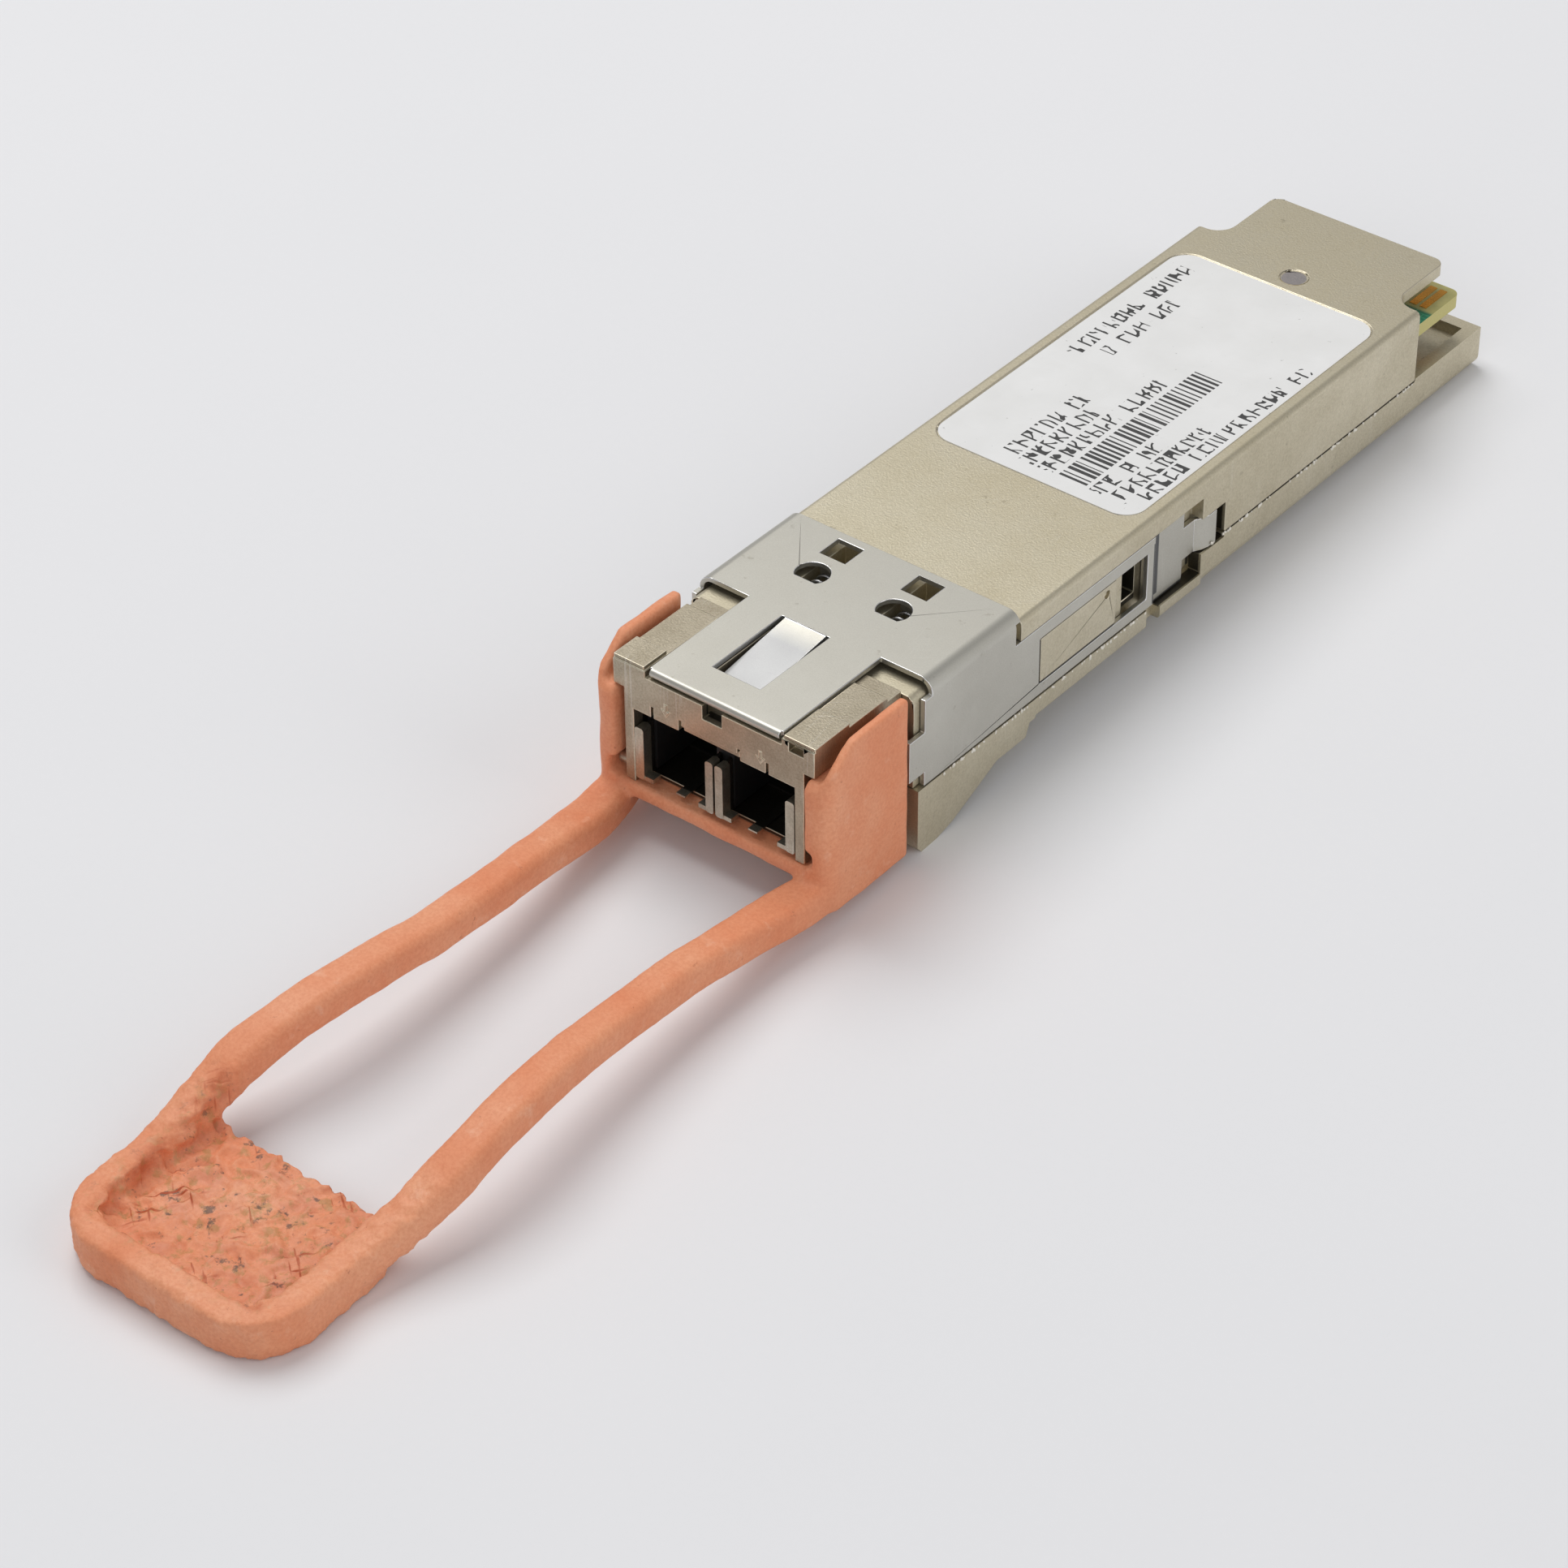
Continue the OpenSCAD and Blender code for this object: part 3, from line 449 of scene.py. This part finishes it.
# %% Board
def board_finish():
    """Green solder mask over copper tracks, with yellowish laminate at the sides and the card edge."""
    finish, tree, shader = new_finish("solder_mask", Roughness=0.3)
    tracks = add_node(tree, "ShaderNodeTexBrick", {
        "Vector": object_coords(tree), "Scale": 700.0, "Mortar Size": 0.03, "Mortar Smooth": 0.2,
        "Brick Width": 0.9, "Row Height": 0.28}).outputs["Fac"]
    cloud = place_group(tree, grain_group, size=0.002, contrast=2.0)
    varnish = mix_colour(tree, cloud, tone(8, 88, 66), tone(20, 122, 92))
    surface = coat(tree, varnish, tracks, 0.55, tone(70, 165, 120))
    bare = box_mask(tree, (-1, 9), (67.3, 72), (5, 7), soft=0.15)
    laminate = mix_colour(tree, cloud, tone(150, 146, 92), tone(186, 178, 116))
    surface = mix_colour(tree, bare, surface, laminate)
    up = split(tree, add_node(tree, "ShaderNodeNewGeometry").outputs["Normal"])["Z"]
    on_side = spread(tree, calc(tree, "ABSOLUTE", up), 0.5, 0.2)
    tree.links.new(mix_colour(tree, on_side, surface, tone(196, 186, 110)), shader.inputs["Base Color"])
    add_bump(tree, shader, tracks, 0.3)
    print("finish:", finish.name)
    return finish


solder_mask = board_finish()

# %% [markdown]
# ### The pull tab's elastomer
# The real tab is a soft salmon moulding with a matt skin. Fingers have rubbed the thin web inside
# the grip until it is scored, grimy and torn. The skin comes from grain and spots all over, and
# the grime from the same groups held to the web by a box mask with a soft border.

# %% The grip's place
GRIP_HALF_WIDTH = 8.65
GRIP_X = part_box("pull_tab")[0].x / MM + GRIP_HALF_WIDTH  # the grip has swung to the left
WEB = ((-1, 7.0), (-46.0, -34.5), (-9, 0), 1.1, GRIP_X)
WEB_BORDER = ((-1, 7.0), (-46.0, -34.0), (-9, 0), 0.3, GRIP_X)
WEB_INSIDE = ((-1, 6.3), (-45.3, -34.0), (-9, 0), 0.3, GRIP_X)
print("grip's middle:", round(GRIP_X, 2), "mm")

# %% Elastomer
def grimy_web(tree, colour, on_web):
    """A colour with worn patches, painted shade in the fold along the inner rim, ochre grime and dark smudges
    laid over it on the web.
    """
    worn = place_group(tree, spot_group, size=0.0021, cover=0.6, softness=0.2)
    ochre = place_group(tree, spot_group, size=0.0008, cover=0.4, softness=0.1)
    smudge = place_group(tree, spot_group, size=0.001, cover=0.24, softness=0.07)
    # Painted shade: a darker red band where the web meets the inner rim, broken up by the worn patches.
    rim_fold_shade = calc(tree, "SUBTRACT", box_mask(tree, *WEB_BORDER), box_mask(tree, *WEB_INSIDE))
    for pattern, zone, strength, over in (
            (worn, on_web, 0.45, tone(216, 148, 124)), (rim_fold_shade, worn, 0.75, tone(186, 90, 50)),
            (ochre, on_web, 0.6, tone(176, 138, 84)), (smudge, on_web, 0.8, tone(92, 80, 72))):
        colour = coat(tree, colour, calc(tree, "MULTIPLY", pattern, zone), strength, over)
    return colour


def elastomer():
    """Salmon rubber: chalky in patches, nicked all over, and scored and grimy on the web."""
    finish, tree, shader = new_finish("salmon_elastomer", Specular_IOR_Level=0.35)
    skin = place_group(tree, grain_group, size=0.00022, contrast=1.6)
    cloud = place_group(tree, grain_group, size=0.006, contrast=2.0)
    colour = mix_colour(tree, cloud, tone(228, 139, 98), tone(241, 171, 132))
    colour = mix_colour(tree, spread(tree, skin, 0.3, 0.7, 0.3, 0.0), colour, tone(208, 116, 76))
    chalk = place_group(tree, spot_group, size=0.0016, cover=0.22, softness=0.12)
    colour = coat(tree, colour, chalk, 0.35, tone(248, 200, 172))
    on_web = box_mask(tree, *WEB)
    colour = grimy_web(tree, colour, on_web)
    crease = place_group(tree, scratch_group, length=0.0026, width=0.0003, turn=0.7, amount=1.0)
    crossed = place_group(tree, scratch_group, length=0.002, width=0.00026, turn=-0.9, amount=1.0)
    creases = calc(tree, "MULTIPLY", calc(tree, "MAXIMUM", crease, crossed),
                   spread(tree, on_web, 0, 1, 0.06, 0.9))
    colour = mix_colour(tree, creases, colour, tone(176, 78, 42))
    nicks = place_group(tree, spot_group, size=0.0006, cover=0.06, softness=0.05)
    colour = coat(tree, colour, nicks, 0.5, tone(164, 90, 64))
    tree.links.new(colour, shader.inputs["Base Color"])
    tree.links.new(spread(tree, cloud, 0.2, 0.8, 0.62, 0.5), shader.inputs["Roughness"])
    ripple = calc(tree, "SUBTRACT", skin, calc(tree, "MULTIPLY", creases, 1.2))
    add_bump(tree, shader, ripple, 0.4, 0.06)
    print("finish:", finish.name)
    return finish


salmon = elastomer()

# %% [markdown]
# ### The label's print
# The real label carries lettering, which is left out. Rows of short random strokes stand for it,
# and a row of bars for its code. Each row is one placing of the same group: a window along Y, and
# inside it cells of random ink.

# %% Rows of placeholder print
print_group, r_in, r_out = new_group("print_row", {"Row": 0.0, "Start": 0.0, "End": 0.01, "Height": 0.001,
                                                   "Stroke": 0.055, "Letter": 0.00095}, ["Ink"])
coords = object_coords(print_group)
place = split(print_group, coords)
off_row = calc(print_group, "ABSOLUTE", calc(print_group, "SUBTRACT", place["X"], r_in.outputs["Row"]))
in_row = calc(print_group, "LESS_THAN", off_row, calc(print_group, "MULTIPLY", r_in.outputs["Height"], 0.5))
after = calc(print_group, "GREATER_THAN", place["Y"], r_in.outputs["Start"])
before = calc(print_group, "LESS_THAN", place["Y"], r_in.outputs["End"])
window = calc(print_group, "MULTIPLY", in_row, calc(print_group, "MULTIPLY", after, before))

# %% Strokes: curved lines and one upright stem in each letter's cell
swirl = add_node(print_group, "ShaderNodeTexNoise", {"Vector": coords, "Scale": 1150.0, "Detail": 0.0})
from_line = calc(print_group, "ABSOLUTE", calc(print_group, "SUBTRACT", swirl.outputs["Fac"], 0.5))
curve = calc(print_group, "LESS_THAN", from_line, r_in.outputs["Stroke"])
cell = calc(print_group, "DIVIDE", place["Y"], r_in.outputs["Letter"])
letter = calc(print_group, "FRACT", cell)
inside = calc(print_group, "GREATER_THAN", letter, 0.22)
stem = calc(print_group, "MULTIPLY", inside, calc(print_group, "LESS_THAN", letter, 0.4))
drawn = calc(print_group, "MAXIMUM", calc(print_group, "MULTIPLY", curve, inside), stem)

# %% Gaps: some cells are left empty, as between words
seed = calc(print_group, "MULTIPLY", r_in.outputs["Row"], 9137.0)
spot = add_node(print_group, "ShaderNodeCombineXYZ", {
    "X": calc(print_group, "FLOOR", cell), "Y": seed, "Z": 3.0}).outputs[0]
chance = add_node(print_group, "ShaderNodeTexWhiteNoise", {"Vector": spot}).outputs[0]
filled = calc(print_group, "GREATER_THAN", chance, 0.13)
ink = calc(print_group, "MULTIPLY", drawn, calc(print_group, "MULTIPLY", filled, window))
print_group.links.new(ink, r_out.inputs["Ink"])

# %% The label's ink
LABEL_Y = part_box("label")[0].y / MM
# For each row in mm: its X, where it starts and ends behind the label's front edge, and its height.
PRINT_ROWS = [(-6.4, 13.5, 27.0, 1.15), (-4.6, 15.0, 22.8, 1.15), (-2.6, 1.2, 9.6, 1.25),
              (-1.1, 1.2, 8.6, 1.2), (0.4, 1.2, 14.2, 1.2), (4.5, 1.2, 9.0, 1.15), (5.9, 1.2, 11.4, 1.1),
              (7.2, 1.2, 21.5, 1.05)]
BAR_PITCH = 0.46
BARS_X = (1.4, 3.6)
BARS_Y = (LABEL_Y + 1.2, LABEL_Y + 16.8)


def code_bars(tree):
    """Ink in plain bars of random width across a row."""
    place = split(tree, object_coords(tree))
    stripe = calc(tree, "DIVIDE", place["Y"], BAR_PITCH * MM)
    width = add_node(tree, "ShaderNodeTexWhiteNoise", {"W": calc(tree, "FLOOR", stripe)},
                     noise_dimensions="1D").outputs[0]
    bars = calc(tree, "LESS_THAN", calc(tree, "FRACT", stripe), calc(tree, "MULTIPLY_ADD", width, 0.55, 0.2))
    for axis, (low, high) in (("X", BARS_X), ("Y", BARS_Y)):
        bars = calc(tree, "MULTIPLY", bars, calc(tree, "GREATER_THAN", place[axis], low * MM))
        bars = calc(tree, "MULTIPLY", bars, calc(tree, "LESS_THAN", place[axis], high * MM))
    return bars


# %% The label's finish
def label_finish():
    """White film, slightly scratched and dotted, with rows of strokes and bars in black."""
    finish, tree, shader = new_finish("printed_label", Roughness=0.38)
    ink = code_bars(tree)
    for x, start, end, height in PRINT_ROWS:
        row = place_group(tree, print_group, row=x * MM, start=(LABEL_Y + start) * MM,
                          end=(LABEL_Y + end) * MM, height=height * MM)
        ink = calc(tree, "MAXIMUM", ink, row)
    wear = place_group(tree, scratch_group, length=0.004, width=0.00007, turn=1.2, amount=0.2)
    ink = calc(tree, "MULTIPLY", ink, calc(tree, "SUBTRACT", 0.95, wear))
    cloud = place_group(tree, grain_group, size=0.004, contrast=1.6)
    paper = mix_colour(tree, cloud, tone(226, 226, 225), tone(236, 236, 236))
    paper = coat(tree, paper, wear, 0.25, tone(180, 178, 175))
    dots = place_group(tree, spot_group, size=0.0006, cover=0.02, softness=0.04)
    paper = coat(tree, paper, dots, 0.5, tone(150, 148, 144))
    tree.links.new(mix_colour(tree, ink, paper, tone(20, 19, 20)), shader.inputs["Base Color"])
    add_bump(tree, shader, cloud, 0.08)
    print("finish:", finish.name, "with", len(PRINT_ROWS), "rows")
    return finish


printed_label = label_finish()

# %% [markdown]
# ### The table
# The module stands on pale card. Its tone drifts slowly over tens of millimetres and its fibres
# show only close up, so it is two sizes of the same grain.

# %% Table top
def table_finish():
    """Matt pale card."""
    finish, tree, shader = new_finish("pale_board", Roughness=0.7)
    cloud = place_group(tree, grain_group, size=0.05, contrast=1.2)
    fibre = place_group(tree, grain_group, size=0.0006, contrast=1.2)
    both = calc(tree, "MULTIPLY_ADD", fibre, 0.3, calc(tree, "MULTIPLY", cloud, 0.7))
    card = mix_colour(tree, both, tone(229, 230, 233), tone(234, 234, 237))
    tree.links.new(card, shader.inputs["Base Color"])
    print("finish:", finish.name)
    return finish


floor.data.materials.append(table_finish())

# %% [markdown]
# ## Pieces from the CAD shells
# A casting and a bent sheet have no razor edges: each edge is a narrow rounded band that catches
# the light. A copy of the CAD node is welded, and a bevel breaks its edges. The bevel's own faces
# take a second, brighter material, as worn edges do.

# %% Copy and weld
def only(piece):
    """Makes piece the one selected and active object."""
    bpy.ops.object.select_all(action="DESELECT")
    piece.select_set(True)
    bpy.context.view_layer.objects.active = piece


def apply_all(piece):
    """Applies every modifier of a piece in order."""
    only(piece)
    for modifier in list(piece.modifiers):
        bpy.ops.object.modifier_apply(modifier=modifier.name)


def welded_copy(node, name):
    """A copy of a CAD node's mesh as a new piece, with its split vertices welded."""
    piece = bpy.data.objects.new(name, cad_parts[node].data.copy())
    bpy.context.scene.collection.objects.link(piece)
    piece.data.materials.clear()
    only(piece)
    bpy.ops.object.mode_set(mode="EDIT")
    bpy.ops.mesh.select_all(action="SELECT")
    bpy.ops.mesh.remove_doubles(threshold=0.002 * MM)
    bpy.ops.mesh.customdata_custom_splitnormals_clear()
    bpy.ops.object.mode_set(mode="OBJECT")
    return piece


# %% Break the edges
def edge_broken(node, name, width, finishes, body="housing", clamp=False):
    """A detailed piece that replaces a CAD node: the same shape with bevelled, worn edges.
    With clamp the bevel stays narrow enough for the node's closest edges. The width is in mm."""
    piece = welded_copy(node, name)
    for finish in finishes:
        piece.data.materials.append(finish)
    bpy.ops.object.shade_smooth_by_angle(angle=math.radians(25))
    bevel = piece.modifiers.new("edge_break", "BEVEL")
    bevel.width = width * MM
    bevel.segments = 2
    bevel.limit_method = "ANGLE"
    bevel.angle_limit = math.radians(28)
    bevel.use_clamp_overlap = clamp
    bevel.harden_normals = True
    bevel.material = len(finishes) - 1
    even = piece.modifiers.new("even_normals", "WEIGHTED_NORMAL")
    even.keep_sharp = True
    apply_all(piece)
    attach(piece, body)
    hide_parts(node)
    print(name, len(piece.data.polygons), "faces")


edge_broken("top_housing", "top_shell", 0.07, [nickel, nickel_edge])
edge_broken("bottom_housing", "bottom_shell", 0.07, [nickel, nickel_edge], clamp=True)
edge_broken("receptacle_nose", "port_nose", 0.06, [nose_nickel, nickel_edge])
edge_broken("latch_slider", "sliding_latch", 0.05, [stainless, stainless_edge], "slider")
for side in ("left", "right"):
    edge_broken(side + "_port_clip", side + "_port_lining", 0.04, [strip_metal, stainless_edge],
                clamp=True)
edge_broken("circuit_board", "card_board", 0.03, [solder_mask])

# %% [markdown]
# ## Burrs along the parting line
# Where the two castings meet, tumbling leaves tiny flakes on the seam; their near-white colour is a
# painted glint. One low ball is added many times in edit mode, flattened and turned at random, so
# all of them are one piece.

# %% Seam burrs
# Painted glint: the burrs are coloured near white so that they sparkle along the seam.
burr_glint_finish = moulded("burrs_with_painted_glint", tone(252, 248, 238), tone(224, 218, 204), rough=0.35, metallic=0.3)
REAR_STRETCH = (39, 63.8, 2.86)  # from and to along Y, and the height, in mm
FRONT_STRETCH = (20.5, 33, 1.42)
FOOT_STRETCH = (10, 20, 1.42)


def seam_burrs(count):
    """Flattened balls scattered along the seams on both sides. The rear stretch gets half of them."""
    chance = random.Random(7)
    side_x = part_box("bottom_housing")[1].x + 0.02 * MM
    bpy.ops.object.select_all(action="DESELECT")
    bpy.ops.mesh.primitive_ico_sphere_add(subdivisions=1, radius=0.03 * MM, location=(0, 0, 0))
    burrs = bpy.context.object
    burrs.name = "seam_burrs"
    bpy.ops.object.mode_set(mode="EDIT")
    bpy.ops.mesh.select_all(action="SELECT")
    bpy.ops.mesh.delete(type="VERT")
    for _ in range(count):
        start, end, height = chance.choice((REAR_STRETCH, REAR_STRETCH, FRONT_STRETCH, FOOT_STRETCH))
        size = chance.uniform(0.07, 0.16) * MM
        x = side_x * chance.choice((-1, 1))
        y = FACE_Y + chance.uniform(start, end) * MM
        z = (height + chance.uniform(-0.04, 0.04)) * MM
        turn = chance.uniform(0, 3)
        stretch = chance.uniform(0.7, 1.6)
        bpy.ops.mesh.primitive_ico_sphere_add(subdivisions=1, radius=size, location=(x, y, z),
                                              rotation=(turn, 0, 0), scale=(0.6, stretch, 0.8))
    bpy.ops.object.mode_set(mode="OBJECT")
    burrs.data.materials.append(burr_glint_finish)
    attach(burrs, "housing")
    print("seam burrs:", count)


seam_burrs(220)

# %% [markdown]
# ## The pull tab
# The CAD tab has the right path but hard corners. A voxel remesh turns it into one even skin,
# and smoothing rounds it as a mould does, more on the grip than on the arms. Three displacements
# roughen it: long waves all over, scuffs on the grip and torn lumps on the web.

# %% One even skin
tab = welded_copy("pull_tab", "pull_tab_moulding")
remesh = tab.modifiers.new("skin", "REMESH")
remesh.mode = "VOXEL"
remesh.voxel_size = 0.18 * MM
smooth = tab.modifiers.new("soften", "SMOOTH")
smooth.factor = 0.5
smooth.iterations = 10
apply_all(tab)
tab.data.materials.append(salmon)
print("remeshed tab:", len(tab.data.polygons), "faces")

# %% Zones for the grip and the web
GRIP_START, GRIP_FADE = 32 * MM, 4 * MM  # in front of the port face
WEB_HALF_WIDTH, WEB_HALF_LENGTH = 7.0 * MM, 6.0 * MM
WEB_MIDDLE, WEB_FADE = 40.2 * MM, 0.8 * MM
grip_zone = tab.vertex_groups.new(name="grip")
web_zone = tab.vertex_groups.new(name="web")
for vertex in tab.data.vertices:
    into_grip = (FACE_Y - GRIP_START - vertex.co.y) / GRIP_FADE
    if into_grip > 0:
        grip_zone.add([vertex.index], min(into_grip, 1.0), "REPLACE")
    aside = WEB_HALF_WIDTH - abs(vertex.co.x - GRIP_X * MM)
    ahead = WEB_HALF_LENGTH - abs(vertex.co.y - (FACE_Y - WEB_MIDDLE))
    into_web = min(aside, ahead) / WEB_FADE
    if into_web > 0:
        web_zone.add([vertex.index], min(1.0, into_web), "REPLACE")
rounder = tab.modifiers.new("round_rim", "SMOOTH")
rounder.factor = 0.5
rounder.iterations = 22
rounder.vertex_group = "grip"


# %% Roughen the skin
def roughen(piece, name, size, height, zone="", kind="CLOUDS"):
    """Pushes a piece's skin in and out by a noise of one size, in mm."""
    pattern = bpy.data.textures.new(name, kind)
    pattern.noise_scale = size * MM
    if kind == "CLOUDS":
        pattern.noise_depth = 3
    push = piece.modifiers.new(name, "DISPLACE")
    push.texture = pattern
    push.texture_coords = "LOCAL"
    push.strength = height * MM
    push.mid_level = 0.5
    push.vertex_group = zone


roughen(tab, "skin_waves", 3.0, 0.18)
roughen(tab, "scuffed_grip", 0.6, 0.3, "grip")
roughen(tab, "torn_web", 1.3, 0.34, "web", "DISTORTED_NOISE")
apply_all(tab)
bpy.ops.object.shade_smooth()
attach(tab, "slider")
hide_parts("pull_tab")
print("pull tab:", len(tab.data.polygons), "faces")

# %% [markdown]
# ## The return springs
# Each spring is a wire wound on a helix. A small circle is screwed round the spring's axis, which
# gives the smooth turns that a faceted CAD sweep can't.

# %% Springs
WIRE = 0.12 * MM  # radius of the wire
TURNS = 7


def close_ends(spring):
    """Fills both cut ends of the wire, turns its faces outwards and puts its place in its mesh."""
    only(spring)
    bpy.ops.object.mode_set(mode="EDIT")
    bpy.ops.mesh.select_all(action="DESELECT")
    bpy.ops.mesh.select_mode(type="EDGE")
    bpy.ops.mesh.select_non_manifold()
    bpy.ops.mesh.edge_face_add()
    bpy.ops.mesh.select_all(action="SELECT")
    bpy.ops.mesh.normals_make_consistent(inside=False)
    bpy.ops.object.mode_set(mode="OBJECT")
    bpy.ops.object.transform_apply(location=True, rotation=True, scale=True)
    bpy.ops.object.shade_smooth_by_angle(angle=math.radians(40))


def wind_spring(name, node):
    """A coil that fills a CAD spring's box."""
    low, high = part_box(node)
    length = high.y - low.y
    coil_radius = (high.z - low.z) / 2 - WIRE
    centre = ((low.x + high.x) / 2, low.y + WIRE, (low.z + high.z) / 2)
    bpy.ops.object.select_all(action="DESELECT")
    bpy.ops.mesh.primitive_circle_add(vertices=10, radius=WIRE, fill_type="NGON", location=centre)
    spring = bpy.context.object
    spring.name = name
    bpy.ops.object.mode_set(mode="EDIT")
    bpy.ops.transform.translate(value=(coil_radius, 0, 0))
    bpy.ops.mesh.delete(type="ONLY_FACE")
    bpy.ops.object.mode_set(mode="OBJECT")
    screw = spring.modifiers.new("wind", "SCREW")
    screw.axis = "Y"
    screw.screw_offset = (length - 2 * WIRE) / TURNS
    screw.iterations = TURNS
    screw.steps = screw.render_steps = 20
    apply_all(spring)
    close_ends(spring)
    spring.data.materials.append(spring_metal)
    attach(spring, "housing")
    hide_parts(node)
    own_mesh(spring)
    print(name, "coil radius", round(coil_radius / MM, 2), "mm")


wind_spring("left_coil", "left_return_spring")
wind_spring("right_coil", "right_return_spring")

# %% [markdown]
# ## Nodes that stay as they are
# The inside parts are small, plain and hidden, so their CAD meshes are good enough. They only
# need the finish of what they are made of.

# %% Finishes for the CAD nodes that stay
finish_of = {
    "nose_pins": nose_nickel, "receptacle_insert": black_plastic, "shield_gasket": gasket,
    "transmit_sleeve": zirconia, "receive_sleeve": zirconia,
    "transmit_package": gold_package, "receive_package": gold_package,
    "transmit_flex": polyimide, "receive_flex": polyimide,
    "top_contacts": gold, "bottom_contacts": gold,
    "driver_chip": epoxy, "receiver_chip": epoxy, "controller_chip": epoxy, "board_passives": passive,
    "driver_thermal_pad": gap_pad, "receiver_thermal_pad": gap_pad,
    "label": printed_label, "housing_screws": screw_metal}
for name, finish in finish_of.items():
    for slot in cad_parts[name].material_slots:
        slot.material = finish
print(len(finish_of), "CAD nodes carried over")
